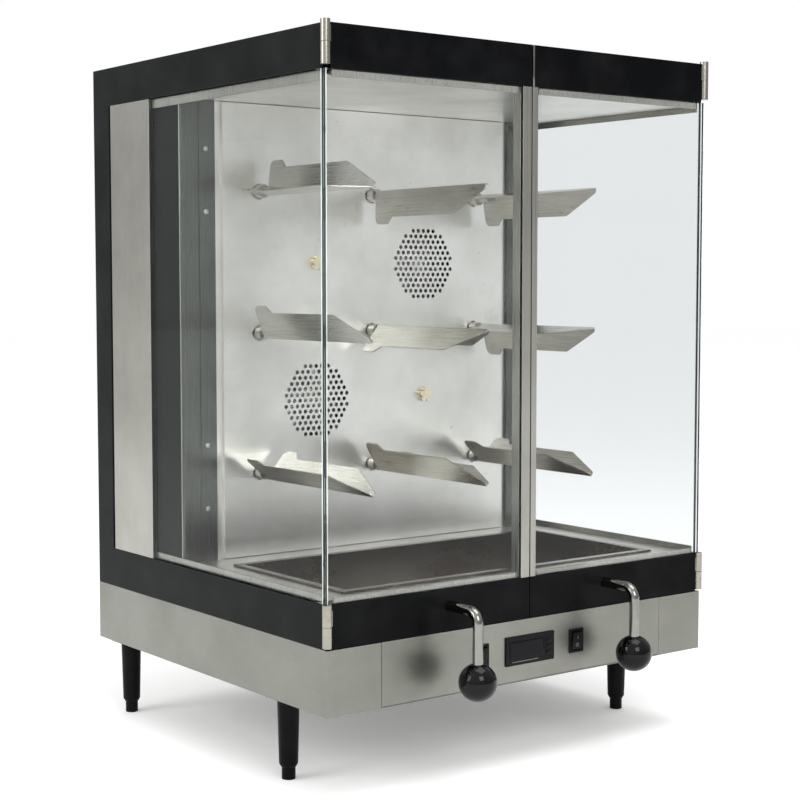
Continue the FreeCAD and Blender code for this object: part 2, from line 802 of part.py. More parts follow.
def door(side, stile_width):
    """One door, built on the left; the right one is its mirror with a narrower stile."""
    name = f"{side}_door"
    end = "-meeting_gap / 2"
    low_solid, low_cuts = door_rail(
        f"{name}_low_rail", "base_top + door_seat_gap", "sill_top", end,
        ("glass_low - glass_slack", "sill_top"))
    low_cuts.append(rod(f"{name}_handle_hole", "y", "handle_rod + slot_gap", "door_thickness",
                        "-handle_x", "front", "handle_z"))
    high_solid, high_cuts = door_rail(
        f"{name}_high_rail", "head_bottom", "body_top", end,
        ("head_bottom", "glass_high + glass_slack"))
    rails = group(f"{name}_rail_pair", cut(f"{name}_low", low_solid, *low_cuts),
                  cut(f"{name}_high", high_solid, *high_cuts))

    depth = ("glass_front", "glass_front + glass_thickness")
    pane = fuse(
        f"{name}_pane",
        box(f"{name}_pane_seat", ("-rail_start", f"{end} - {stile_width} + glass_lap"), depth,
            ("glass_low", "glass_high")),
        box(f"{name}_pane_edge", ("-hinge_x", "-rail_start"), depth, ("sill_top", "head_bottom")))

    stile = cut(
        f"{name}_stile_channel",
        box(f"{name}_stile_block", (f"{end} - {stile_width}", end), ("front", "door_back"),
            ("sill_top", "head_bottom")),
        box(f"{name}_stile_slot",
            (f"{end} - {stile_width}", f"{end} - {stile_width} + glass_lap + glass_slack"),
            ("glass_front - slot_gap", "glass_front + glass_thickness + slot_gap"),
            ("sill_top", "head_bottom")))

    knuckles = []
    for band, top in (("low", "sill_top"), ("high", "body_top + barrel_rise")):
        split = f"{top} - knuckle_height"
        barrel = rod(f"{name}_{band}_barrel", "z", "barrel_diameter", "knuckle_height",
                     "-hinge_x", "hinge_y", split)
        leaf = box(f"{name}_{band}_leaf", ("-hinge_x", "-rail_start"),
                   ("hinge_y - leaf_thickness", "hinge_y + leaf_thickness"), (split, f"{top} - leaf_end_gap"))
        socket = rod(f"{name}_{band}_pin_hole", "z", "hinge_pin_diameter + 2 * running_gap",
                     "knuckle_height - pin_roof", "-hinge_x", "hinge_y", split)
        knuckles.append(cut(f"{name}_{band}_knuckle", fuse(f"{name}_{band}_solid", barrel, leaf), socket))
    hinges = group(f"{name}_knuckles", *knuckles)

    straight = rod(f"{name}_handle_bar", "y", "handle_rod", "handle_reach - handle_bend + cam_depth",
                   "-handle_x", "front + handle_bend - handle_reach", "handle_z")
    bend = doc.addObject("Part::Torus", f"{name}_handle_bend")
    bind(bend, "Radius1", "handle_bend")
    bind(bend, "Radius2", "handle_rod / 2")
    bend.Angle3 = 90
    place(bend, "-handle_x", "front + handle_bend - handle_reach", "handle_z - handle_bend",
          Rotation(Vector(1, 0, 0), 180) * Rotation(Vector(0, 1, 0), 90))
    drop = rod(f"{name}_handle_drop", "z", "handle_rod", "handle_z - handle_bend - knob_z",
               "-handle_x", "front - handle_reach", "knob_z")
    cam = box(f"{name}_cam", ("-handle_x - cam_width / 2", "cam_width / 2 - handle_x"),
              ("front + cam_depth - cam_thickness", "front + cam_depth"),
              ("handle_z - cam_length", "handle_z"))
    handle = fuse(f"{name}_handle_solid", straight, bend, drop, cam)

    ball = doc.addObject("Part::Sphere", f"{name}_ball")
    bind(ball, "Radius", "knob_diameter / 2")
    place(ball, "-handle_x", "front - handle_reach", "knob_z")
    bore = rod(f"{name}_ball_bore", "z", "handle_rod", "knob_diameter",
               "-handle_x", "front - handle_reach", "knob_z")
    knob = cut(f"{name}_knob_ball", ball, bore)

    made = {f"{name}_rails": rails, f"{name}_glass": pane, f"{name}_stile": stile,
            f"{name}_hinges": hinges, f"{side}_handle": handle, f"{side}_knob": knob}
    for label, piece in made.items():
        node(label, piece if side == "left" else mirrored(f"{label}_mirror", piece))


def fixed_hinges():
    """The frame's lower knuckle and its pin, at each door's foot and head."""
    sides = []
    for band, top in (("low", "sill_top"), ("high", "body_top + barrel_rise")):
        split = f"{top} - knuckle_height - knuckle_gap"
        height = "knuckle_height - knuckle_foot"
        barrel = rod(f"fixed_{band}_barrel", "z", "barrel_diameter", height,
                     "-hinge_x", "hinge_y", f"{split} - knuckle_height + knuckle_foot")
        pin = rod(f"fixed_{band}_pin", "z", "hinge_pin_diameter", "knuckle_height - 1.5 * pin_roof",
                  "-hinge_x", "hinge_y", split)
        leaf = box(f"fixed_{band}_leaf",
                   ("cheek_thickness - half_width", "cheek_thickness + leaf_thickness - half_width"),
                   ("hinge_y", "frame_front"), (f"{split} - knuckle_height + knuckle_foot", split))
        sides.append(fuse(f"fixed_{band}_hinge", barrel, pin, leaf))
    node("hinge_brackets", both_sides("hinge_bracket_pair", group("left_fixed_hinges", *sides)))


# ---------------------------------------------------------------- spits and their drive
def toothed_disc(tip, depth, teeth, width, y):
    points = []
    step = 2 * math.pi / teeth
    for tooth in range(teeth):
        for share, radius in ((0.0, tip - depth), (0.22, tip - depth), (0.42, tip), (0.80, tip)):
            angle = (tooth + share) * step
            points.append(Vector(radius * math.sin(angle), y, radius * math.cos(angle)))
    outline = Part.makePolygon(points + points[:1])
    return Part.Face(outline).extrude(Vector(0, width, 0))


def spindle_shape(sprocket_planes, length):
    """A spindle along Y from the partition's front face, with its blade socket and sprockets."""
    along = Vector(0, 1, 0)
    radius, stand = size("spindle_diameter") / 2, size("baffle_stand")
    start = -stand - size("socket_wall_gap")
    shaft = Part.makeCylinder(radius, length - start, Vector(0, start, 0), along)
    socket_start = start - size("socket_length")
    socket = Part.makeCylinder(size("socket_diameter") / 2, size("socket_length"),
                               Vector(0, socket_start, 0), along)
    parts = [socket]
    for plane in sprocket_planes:
        parts.append(toothed_disc(size("sprocket_tip") / 2, size("tooth_height"), SPROCKET_TEETH,
                                  size("sprocket_width"), plane))
    whole = shaft.multiFuse(parts)
    bore = Part.makeCylinder(size("stub_diameter") / 2, size("socket_length") - size("socket_floor"),
                             Vector(0, socket_start, 0), along)
    return whole.cut(bore).removeSplitter()


def blade_shape():
    """A V-shaped skewer along -Y from the partition's front face, with its stub lying in the fold."""
    leg, wide, corner = size("blade_leg"), size("blade_heel"), size("blade_corner")
    thick, nose, stand = size("blade_sheet"), size("blade_tip"), size("baffle_stand")
    heel = -stand - size("blade_wall_gap") - size("socket_length")
    waist = heel - size("blade_heel_run")
    tip = -stand - size("blade_reach")
    shoulder = tip + size("blade_taper")
    rounding = corner * (1 - math.sqrt(0.5))
    edges = [
        Part.LineSegment(Vector(0, heel, 0), Vector(wide - corner, heel, 0)),
        Part.Arc(Vector(wide - corner, heel, 0), Vector(wide - rounding, heel - rounding, 0),
                 Vector(wide, heel - corner, 0)),
    ]
    outline = [
        Vector(wide, heel - corner, 0), Vector(wide, waist, 0), Vector(leg, waist + leg - wide, 0),
        Vector(leg, shoulder, 0), Vector(nose, tip + nose / 4, 0), Vector(nose / 2, tip, 0),
        Vector(0, tip, 0), Vector(0, heel, 0)]
    edges += [Part.LineSegment(first, second) for first, second in zip(outline, outline[1:])]
    wire = Part.Wire([edge.toShape() for edge in edges])
    flat = Part.Face(wire).extrude(Vector(0, 0, thick))
    upright = flat.copy()
    upright.rotate(Vector(0, 0, 0), Vector(0, 1, 0), -90)
    upright.translate(Vector(thick, 0, 0))
    for half in (flat, upright):
        half.translate(Vector(-size("blade_nest"), 0, -size("blade_nest")))
    stub_end = -stand - size("socket_wall_gap") - size("socket_floor")
    stub_start = heel - size("stub_run")
    stub = Part.makeCylinder(size("stub_diameter") / 2, stub_end - stub_start,
                             Vector(0, stub_start, 0), Vector(0, 1, 0))
    return flat.multiFuse([upright, stub]).removeSplitter()


def spits():
    bearings = []
    number = 0
    for row in ROWS:
        for column in COLUMNS:
            number += 1
            x = f"{column} * column_pitch"
            planes = [size("column_chain_plane")]
            if row == "spit_middle":
                planes.append(size("cross_chain_plane"))
            length = size("motor_spindle_length") if number == DRIVE_SPIT else size("spindle_length")
            spindle = feature(f"spindle_{number}", spindle_shape(planes, length))
            place(spindle, x, "partition", row)
            node(f"spit_drive_{number}", spindle)
            blade = feature(f"blade_{number}", blade_shape())
            place(blade, x, "partition", row, Rotation(Vector(0, 1, 0), BLADE_ROLLS[number - 1]))
            node(f"spit_blade_{number}", blade)
            body = fuse(
                f"bearing_{number}_solid",
                rod(f"bearing_{number}_flange", "y", "bearing_flange", "flange_sheet",
                    x, "partition_back", row),
                rod(f"bearing_{number}_boss", "y", "bearing_boss", "bearing_length",
                    x, "partition_back", row))
            bore = rod(f"bearing_{number}_bore", "y", "spindle_diameter + 2 * running_gap",
                       "bearing_length", x, "partition_back", row)
            bearings.append(cut(f"bearing_{number}", body, bore))
    node("spit_bearings", group("bearing_set", *bearings))


def chain_loop(centre, reach, upright, plane):
    """A closed band around the outer two sprockets of a line of three."""
    inner = size("sprocket_tip") / 2 + size("chain_slack")
    outer = inner + size("chain_thickness")
    rings = []
    for radius in (outer, inner):
        span = Part.makeBox(2 * radius, size("chain_width"), 2 * reach, Vector(-radius, plane, -reach))
        ends = [Part.makeCylinder(radius, size("chain_width"), Vector(0, plane, z), Vector(0, 1, 0))
                for z in (-reach, reach)]
        rings.append(span.multiFuse(ends).removeSplitter())
    loop = rings[0].cut(rings[1])
    if not upright:
        loop.rotate(Vector(0, 0, 0), Vector(0, 1, 0), 90)
    loop.translate(centre)
    return loop


def drive():
    middle, base = size("spit_middle"), size("partition")
    play = (size("chain_width") - size("sprocket_width")) / 2
    loops = []
    for column in COLUMNS:
        centre = Vector(column * size("column_pitch"), base, middle)
        loops.append(chain_loop(centre, size("row_pitch"), True, size("column_chain_plane") - play))
    loops.append(chain_loop(Vector(0, base, middle), size("column_pitch"), False,
                            size("cross_chain_plane") - play))
    node("drive_chains", feature("chain_set", Part.makeCompound(loops)))

    posts = []
    for across in (-1, 1):
        for up in (-1, 1):
            posts.append(rod(f"gearbox_post_{across + 1}{up + 1}", "y", "post_diameter",
                             "gearbox_plane - steel_sheet", f"{across} * post_spread / 2",
                             "partition_back", f"spit_middle + {up} * post_rise / 2"))
    unit = fuse(
        "gearmotor_solid",
        box("gearbox_case", ("-gearbox_width / 2", "gearbox_width / 2"),
            ("partition + gearbox_plane", "partition + gearbox_plane + gearbox_length"),
            ("spit_middle - gearbox_width / 2", "spit_middle + gearbox_width / 2")),
        rod("gearmotor_barrel", "y", "gearmotor_diameter", "gearmotor_length",
            0, "partition + gearbox_plane + gearbox_length", "spit_middle"),
        *posts)
    bore = rod("gearbox_bore", "y", "spindle_diameter + 2 * running_gap",
               "motor_spindle_length - gearbox_plane + shaft_end_gap",
               0, "partition + gearbox_plane", "spit_middle")
    node("gearmotor", cut("gearmotor_unit", unit, bore))


# ---------------------------------------------------------------- fans and heaters
def fan_wheel_shape():
    """A radial wheel along +Y from its front edge, with its shaft behind it."""
    radius, width, along = size("fan_diameter") / 2, size("fan_width"), Vector(0, 1, 0)
    disc_front, hub_front = width - size("fan_disc"), size("fan_hub_gap")
    disc = Part.makeCylinder(radius, size("fan_disc"), Vector(0, disc_front, 0), along)
    hub = Part.makeCylinder(size("fan_hub") / 2, width - hub_front, Vector(0, hub_front, 0), along)
    shaft_end = size("fan_motor_plane") - size("fan_wall_gap") + size("fan_motor_length") / 2
    shaft = Part.makeCylinder(size("fan_shaft") / 2, shaft_end - disc_front, Vector(0, disc_front, 0), along)
    sheet, start = size("vane_sheet"), size("vane_start") / 2
    vanes = []
    for index in range(FAN_BLADES):
        vane = Part.makeBox(sheet, disc_front, radius - sheet - start, Vector(-sheet / 2, 0, start))
        vane.rotate(Vector(0, 0, 0), along, 360 * index / FAN_BLADES)
        vanes.append(vane)
    return disc.multiFuse([hub, shaft] + vanes).removeSplitter()


def fans_and_heaters():
    motors, heaters = [], []
    for level, (side, z) in VENTS.items():
        x = f"{side} * column_pitch / 2"
        wheel = feature(f"{level}_wheel", fan_wheel_shape())
        place(wheel, x, "partition + fan_wall_gap", z)
        node(f"{level}_fan_wheel", wheel)

        arms = []
        for arm in range(STANDOFFS):
            angle = math.radians(45 + 360 * arm / STANDOFFS)
            arms.append(rod(f"{level}_arm_{arm}", "y", "standoff_diameter",
                            "fan_motor_plane - steel_sheet",
                            f"{x} + standoff_circle / 2 * {math.sin(angle):.6f}", "partition_back",
                            f"{z} + standoff_circle / 2 * {math.cos(angle):.6f}"))
        plate = rod(f"{level}_motor_plate", "y", "fan_flange", "fan_plate",
                    x, "partition + fan_motor_plane", z)
        barrel = rod(f"{level}_motor_barrel", "y", "fan_motor_diameter", "fan_motor_length",
                     x, "partition + fan_motor_plane", z)
        bore = rod(f"{level}_motor_bore", "y", "fan_shaft + 2 * running_gap",
                   "fan_motor_length / 2 + shaft_end_gap", x, "partition + fan_motor_plane", z)
        motors.append(cut(f"{level}_motor", fuse(f"{level}_motor_solid", barrel, plate, *arms), bore))

        for turn in range(2):
            ring = doc.addObject("Part::Torus", f"{level}_heater_{turn}")
            bind(ring, "Radius1", "heater_circle / 2")
            bind(ring, "Radius2", "heater_rod / 2")
            heaters.append(place(ring, x, f"partition + heater_wall_gap + {turn} * heater_pitch", z,
                                 ALONG["y"]))
    node("fan_motors", group("fan_motor_pair", *motors))
    node("heating_elements", group("heater_rings", *heaters))


base_and_controls()
cabinet()
cavity()
door("left", "left_stile_width")
door("right", "right_stile_width")
fixed_hinges()
spits()
drive()
fans_and_heaters()
doc.recompute()

# ---------------------------------------------------------------- checks and export
for item in doc.Objects:
    if "Invalid" in item.State or "Error" in item.State:
        raise RuntimeError(f"{item.Label} did not build: {item.State}")
for name, piece in pieces.items():
    if piece.Shape.isNull() or not piece.Shape.isValid() or not piece.Shape.Solids:
        raise RuntimeError(f"{name} has no valid solid")

os.makedirs("parts", exist_ok=True)
for name, piece in pieces.items():
    piece.Shape.exportStep(os.path.join("parts", f"{name}.step"))
print(len(pieces), "nodes written")
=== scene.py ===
# %% [markdown]
# # A counter-top rotisserie oven
# The oven's structure comes packed from the workshop model: every sheet, pane, spit and motor is
# already at its real size and place, in metres, with +Z up and the doors facing -Y.  This lesson
# loads that frame, then adds what an eye sees and a workshop model leaves out: softened edges,
# screws, trims, the display, and a finish for every surface.

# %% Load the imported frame
import bpy
import json
import math
from mathutils import Matrix, Vector


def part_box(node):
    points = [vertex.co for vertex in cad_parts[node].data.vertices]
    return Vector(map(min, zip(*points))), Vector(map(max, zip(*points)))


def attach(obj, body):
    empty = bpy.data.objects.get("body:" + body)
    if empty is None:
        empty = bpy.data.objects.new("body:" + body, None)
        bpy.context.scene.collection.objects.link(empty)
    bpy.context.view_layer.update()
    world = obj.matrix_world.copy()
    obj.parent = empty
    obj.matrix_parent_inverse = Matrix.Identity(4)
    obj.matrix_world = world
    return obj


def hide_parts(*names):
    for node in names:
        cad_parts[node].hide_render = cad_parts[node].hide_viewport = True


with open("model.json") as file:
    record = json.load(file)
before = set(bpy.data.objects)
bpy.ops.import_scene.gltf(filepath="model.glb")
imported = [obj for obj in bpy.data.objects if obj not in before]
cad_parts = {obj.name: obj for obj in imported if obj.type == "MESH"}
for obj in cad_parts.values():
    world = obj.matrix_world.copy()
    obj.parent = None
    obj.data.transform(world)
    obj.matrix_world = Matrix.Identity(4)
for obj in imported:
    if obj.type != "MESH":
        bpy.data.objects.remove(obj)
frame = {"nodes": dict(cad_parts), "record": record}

sides = (("left", -1), ("right", 1))
spit_numbers = range(1, 10)
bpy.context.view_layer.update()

# %% [markdown]
# ## The camera
# The oven is seen from its front left corner, a little above its middle.  A long lens, of about
# 75 mm, keeps the cabinet's edges nearly parallel.  The camera is placed by how many cabinet
# widths it stands from the cabinet's middle, so it keeps its view when the oven's size changes.

# %% Place the camera
base_low, base_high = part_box("base_housing")
cabinet_middle = Vector(((base_low[0] + base_high[0]) / 2, (base_low[1] + base_high[1]) / 2, base_low[2]))
cabinet_width = base_high[0] - base_low[0]
camera_offset = Vector((-2.2291, -2.9552, 0.8109)) * cabinet_width
camera_yaw, camera_pitch = math.radians(-37.22), math.radians(85.90)
lens_mm, sensor_mm = 74.93, 36.0

camera_data = bpy.data.cameras.new("camera")
camera_data.lens, camera_data.sensor_width = lens_mm, sensor_mm
camera = bpy.data.objects.new("camera", camera_data)
camera.location = cabinet_middle + camera_offset
camera.rotation_euler = (camera_pitch, 0.0, camera_yaw)
bpy.context.scene.collection.objects.link(camera)
bpy.context.scene.camera = camera
print("camera stands at", [round(value, 3) for value in camera.location])

# %% [markdown]
# ## Floor and light
# A plain pale floor and a bright, soft studio.  The backdrop is white where it is looked at, and
# shades from a bright left side to a greyer front where it is only reflected: satin steel shows
# what stands around it, so an evenly white room would leave it as pale as paper.  Three large soft
# panels give the cabinet its shape.

# %% Make the floor
bpy.ops.object.select_all(action="DESELECT")
floor_size = 40.0
bpy.ops.mesh.primitive_plane_add(size=floor_size, location=(0.0, 0.0, 0.0))
floor = bpy.context.object
floor.name = "floor"


def new_material(name):
    """A material with an empty tree, its Principled shader and its output."""
    material = bpy.data.materials.new(name)
    material.use_nodes = True
    shader = material.node_tree.nodes["Principled BSDF"]
    return material, material.node_tree, shader


floor_material, _, floor_shader = new_material("pale_floor")
floor_shader.inputs["Base Color"].default_value = (0.95, 0.95, 0.95, 1.0)
floor_shader.inputs["Roughness"].default_value = 0.85
floor_shader.inputs["Specular IOR Level"].default_value = 0.1
floor_shader.inputs["Emission Color"].default_value = (1.0, 1.0, 1.0, 1.0)
floor_shader.inputs["Emission Strength"].default_value = 0.16
floor.data.materials.append(floor_material)
print("floor", floor_size, "m across")


# %% Make node helpers
def add_node(tree, kind, **settings):
    """A shader node of one kind, with its own settings."""
    node = tree.nodes.new(kind)
    for key, value in settings.items():
        setattr(node, key, value)
    return node


def join(tree, source, target):
    """Link an output socket to an input socket."""
    tree.links.new(source, target)


def noise(tree, vector, scale, detail=3.0, roughness=0.55):
    """Smooth random values over a surface, finer with a larger scale."""
    texture = add_node(tree, "ShaderNodeTexNoise")
    texture.inputs["Scale"].default_value = scale
    texture.inputs["Detail"].default_value = detail
    texture.inputs["Roughness"].default_value = roughness
    join(tree, vector, texture.inputs["Vector"])
    return texture.outputs["Fac"]


def span(tree, value, low, high, to_low=0.0, to_high=1.0):
    """Map one range of values to another, clamped at both ends."""
    remap = add_node(tree, "ShaderNodeMapRange")
    for label, number in (("From Min", low), ("From Max", high), ("To Min", to_low), ("To Max", to_high)):
        remap.inputs[label].default_value = number
    join(tree, value, remap.inputs["Value"])
    return remap.outputs["Result"]


def math_node(tree, operation, first, second):
    """One sum of two values, each a socket or a number."""
    node = add_node(tree, "ShaderNodeMath", operation=operation)
    for index, value in enumerate((first, second)):
        if isinstance(value, (int, float)):
            node.inputs[index].default_value = value
        else:
            join(tree, value, node.inputs[index])
    return node.outputs[0]


print("helpers ready")

# %% Light the backdrop
world = bpy.data.worlds.new("studio")
world.use_nodes = True
backdrop = world.node_tree
toward = add_node(backdrop, "ShaderNodeSeparateXYZ")
join(backdrop, add_node(backdrop, "ShaderNodeTexCoord").outputs["Generated"], toward.inputs["Vector"])
front_grey, left_share, top_share = 0.42, 0.42, 0.50
left_start, left_full, top_start, top_full = 0.1, -0.9, 0.05, 0.9
from_left = span(backdrop, toward.outputs["X"], left_start, left_full, 0.0, left_share)
from_top = span(backdrop, toward.outputs["Z"], top_start, top_full, front_grey, front_grey + top_share)
reflected = math_node(backdrop, "ADD", from_left, from_top)
seen_by = add_node(backdrop, "ShaderNodeLightPath")
looked_at = math_node(backdrop, "MAXIMUM", seen_by.outputs["Is Camera Ray"],
                      seen_by.outputs["Is Transmission Ray"])
strength = math_node(backdrop, "MAXIMUM", reflected, looked_at)
background = backdrop.nodes["Background"]
background.inputs["Color"].default_value = (1.0, 1.0, 1.0, 1.0)
join(backdrop, strength, background.inputs["Strength"])
bpy.context.scene.world = world
bpy.context.scene.view_settings.view_transform = "Standard"
print("backdrop shades from", front_grey, "to", front_grey + left_share + top_share)


# %% Hang the soft panels
def soft_panel(name, place, aim, size, power):
    """A square studio panel that points at a spot."""
    panel_data = bpy.data.lights.new(name, "AREA")
    panel_data.shape, panel_data.size, panel_data.energy = "SQUARE", size, power
    panel = bpy.data.objects.new(name, panel_data)
    panel.location = place
    panel.rotation_euler = (Vector(aim) - Vector(place)).to_track_quat("-Z", "Y").to_euler()
    bpy.context.scene.collection.objects.link(panel)
    return panel


oven_heart = (0.0, 0.0, 0.65)
soft_panel("front_panel", (-0.9, -3.4, 2.4), oven_heart, 1.6, 50.0)
soft_panel("left_panel", (-3.4, 0.6, 1.9), oven_heart, 1.8, 42.0)
soft_panel("top_panel", (0.4, -0.8, 3.6), oven_heart, 2.2, 55.0)

# %% [markdown]
# ## Shared effects
# Several finishes use the same effects, so each effect is a node group that is built once:
# *brushed grain* draws the fine parallel scratches of satin steel and the broad smudges of
# handling; *kitchen soil* gathers browned fat where it would run and collect; *worn edge* finds
# the sharp corners, where enamel thins.  The groups put out values only, and each material keeps
# its own shader.


# %% Build the brushed grain
def new_group(name, inputs, outputs):
    """An empty node group with named sockets, and the nodes at its two ends."""
    group = bpy.data.node_groups.new(name, "ShaderNodeTree")
    for label, kind, value in inputs:
        socket = group.interface.new_socket(label, in_out="INPUT", socket_type=kind)
        socket.default_value = value
    for label, kind in outputs:
        group.interface.new_socket(label, in_out="OUTPUT", socket_type=kind)
    entry = group.nodes.new("NodeGroupInput")
    leave = group.nodes.new("NodeGroupOutput")
    return group, entry, leave


def build_brushed_grain():
    """Fine scratches, drawn out by Stretch, and broad smudges."""
    group, entry, leave = new_group(
        "brushed_grain",
        [("Stretch", "NodeSocketVector", (3.0, 3.0, 900.0))],
        [("Grain", "NodeSocketFloat"), ("Smudge", "NodeSocketFloat")])
    place = add_node(group, "ShaderNodeTexCoord")
    stretch = add_node(group, "ShaderNodeVectorMath", operation="MULTIPLY")
    join(group, place.outputs["Object"], stretch.inputs[0])
    join(group, entry.outputs["Stretch"], stretch.inputs[1])
    join(group, noise(group, stretch.outputs["Vector"], 1.0, 4.0, 0.7), leave.inputs["Grain"])
    join(group, noise(group, place.outputs["Object"], 5.0, 5.0, 0.6), leave.inputs["Smudge"])
    return group


brushed_grain = build_brushed_grain()
print("group:", brushed_grain.name)


# %% Build the kitchen soil
def build_kitchen_soil():
    """A film of fat where a slow noise rises above Start, and small dark specks."""
    group, entry, leave = new_group(
        "kitchen_soil",
        [("Scale", "NodeSocketFloat", 9.0), ("Start", "NodeSocketFloat", 0.5)],
        [("Film", "NodeSocketFloat"), ("Specks", "NodeSocketFloat")])
    place = add_node(group, "ShaderNodeTexCoord")
    patches = add_node(group, "ShaderNodeTexNoise")
    patches.inputs["Detail"].default_value = 6.0
    patches.inputs["Roughness"].default_value = 0.65
    join(group, place.outputs["Object"], patches.inputs["Vector"])
    join(group, entry.outputs["Scale"], patches.inputs["Scale"])
    above = math_node(group, "SUBTRACT", patches.outputs["Fac"], entry.outputs["Start"])
    soil_fade = 0.18
    film = span(group, above, 0.0, soil_fade)
    join(group, film, leave.inputs["Film"])
    dots = noise(group, place.outputs["Object"], 160.0, 2.0, 0.5)
    join(group, span(group, dots, 0.73, 0.80), leave.inputs["Specks"])
    return group


kitchen_soil = build_kitchen_soil()
print("group:", kitchen_soil.name)


# %% Build the worn edge
def build_worn_edge():
    """One where the surface turns sharply within Radius, and nought on flat faces."""
    group, entry, leave = new_group(
        "worn_edge",
        [("Radius", "NodeSocketFloat", 0.002)],
        [("Edge", "NodeSocketFloat")])
    rounded = add_node(group, "ShaderNodeBevel", samples=4)
    join(group, entry.outputs["Radius"], rounded.inputs["Radius"])
    surface = add_node(group, "ShaderNodeNewGeometry")
    likeness = add_node(group, "ShaderNodeVectorMath", operation="DOT_PRODUCT")
    join(group, rounded.outputs["Normal"], likeness.inputs[0])
    join(group, surface.outputs["Normal"], likeness.inputs[1])
    join(group, span(group, likeness.outputs["Value"], 0.995, 0.9), leave.inputs["Edge"])
    return group


worn_edge = build_worn_edge()
print("group:", worn_edge.name)


# %% [markdown]
# ## Steel finishes
# The cabinet's outside is satin stainless: its grain runs along each sheet's length, so there is
# one finish with grain lying level and one with grain standing upright.  Their tones are painted
# light and shade: the level one is painted darker than the upright one, though both are one
# steel.  The cavity's lining is the same steel after much roasting: duller, warmer, and filmed with
# fat, but its tone is painted far lighter, as painted light inside the cavity.  The corner channels'
# steel is painted nearly black as painted shade, and the pan's steel is painted dark as a painted
# reflection under its grease.

# %% Mix the steels
def use_group(tree, group, **values):
    """Place a group in a material, with its own values."""
    node = add_node(tree, "ShaderNodeGroup", node_tree=group)
    for label, value in values.items():
        node.inputs[label].default_value = value
    return node


def colour_mix(tree, factor, first, second):
    """A colour between two, by a mask; each colour is a tuple or a socket."""
    mix = add_node(tree, "ShaderNodeMix", data_type="RGBA")
    join(tree, factor, mix.inputs["Factor"])
    for label, value in (("A", first), ("B", second)):
        socket = next(item for item in mix.inputs if item.name == label and item.type == "RGBA")
        if isinstance(value, tuple):
            socket.default_value = (*value, 1.0)
        else:
            join(tree, value, socket)
    return next(item for item in mix.outputs if item.type == "RGBA")


def bump(tree, shader, height, strength, distance):
    """Fine relief from a height value; the distance is in metres."""
    relief = add_node(tree, "ShaderNodeBump")
    relief.inputs["Strength"].default_value = strength
    relief.inputs["Distance"].default_value = distance
    join(tree, height, relief.inputs["Height"])
    join(tree, relief.outputs["Normal"], shader.inputs["Normal"])


speck_brown, gloss_swing = (0.12, 0.06, 0.025), 0.07


def steel(name, clean, dull, stretch, rough, soil=None, film_metal=0.9):
    """Satin stainless: grain in the relief and the gloss, smudges in the tone, soil where asked.

    Soil is its colour, the level it starts at and its scale; film_metal is how metallic the
    steel still looks under the thickest film.
    """
    material, tree, shader = new_material(name)
    shader.inputs["Metallic"].default_value = 1.0
    grain = use_group(tree, brushed_grain, Stretch=stretch)
    tone = colour_mix(tree, span(tree, grain.outputs["Smudge"], 0.35, 0.7), clean, dull)
    gloss = span(tree, grain.outputs["Grain"], 0.3, 0.7, rough - gloss_swing, rough + gloss_swing)
    if soil:
        brown, start, scale = soil
        dirt = use_group(tree, kitchen_soil, Start=start, Scale=scale)
        tone = colour_mix(tree, dirt.outputs["Film"], tone, brown)
        tone = colour_mix(tree, dirt.outputs["Specks"], tone, speck_brown)
        metal = span(tree, dirt.outputs["Film"], 0.0, 1.0, 1.0, film_metal)
        join(tree, metal, shader.inputs["Metallic"])
    join(tree, tone, shader.inputs["Base Color"])
    join(tree, gloss, shader.inputs["Roughness"])
    bump(tree, shader, grain.outputs["Grain"], 0.12, 0.0004)
    return material


level_grain, upright_grain = (2.0, 2.0, 1400.0), (1400.0, 1400.0, 2.0)
blade_grain = (3200.0, 2.0, 3200.0)
# painted light and shade: one steel, its level finish given a darker tone and its upright finish a lighter
# one
steel_level_painted_shade = steel(
    "satin_steel_level_painted_shade", clean=(0.255, 0.257, 0.230), dull=(0.195, 0.197, 0.173),
    stretch=level_grain, rough=0.34)
steel_upright_painted_light = steel(
    "satin_steel_upright_painted_light", clean=(0.43, 0.425, 0.385), dull=(0.31, 0.305, 0.275),
    stretch=upright_grain, rough=0.30)
# painted light: the lining's tone is set far lighter than the outside steel, to brighten the cavity; its fat
# film and specks are real soil
lining_steel_painted_light = steel(
    "roasted_lining_steel_painted_light", clean=(0.83, 0.82, 0.785), dull=(0.62, 0.61, 0.575),
    stretch=level_grain, rough=0.34, soil=((0.46, 0.40, 0.31), 0.60, 4.0))
# painted shade: the corner channels' steel is made nearly black, the shade of the cavity's rear corners; its
# brown film is real soil
channel_steel_painted_shade = steel(
    "corner_channel_steel_painted_shade", clean=(0.15, 0.16, 0.145), dull=(0.055, 0.06, 0.055),
    stretch=upright_grain, rough=0.24, soil=((0.12, 0.10, 0.065), 0.60, 6.0))
spit_steel = steel(
    "greased_spit_steel", clean=(0.56, 0.55, 0.51), dull=(0.38, 0.37, 0.33),
    stretch=blade_grain, rough=0.26, soil=((0.27, 0.17, 0.08), 0.60, 26.0))
# painted reflection: the pan's steel tone is set dark for the dark reflection in its floor; the thick grease
# film on it is real soil
pan_steel_painted_reflection = steel(
    "greasy_pan_steel_painted_reflection", clean=(0.22, 0.20, 0.17), dull=(0.11, 0.095, 0.075),
    stretch=level_grain, rough=0.20, soil=((0.045, 0.020, 0.008), 0.45, 5.0), film_metal=0.25)
print("steels:", [item.name for item in bpy.data.materials if "steel" in item.name])


# %% [markdown]
# ## Enamel, plastic and bright metal
# The frame and rails are black stove enamel: glassy, a little orange-peeled, and thinner at the
# edges.  The knobs are black plastic, the handles are chromed, and the hinges are nickel plated.

# %% Mix the enamels and plastics
wear_radius = 0.0015


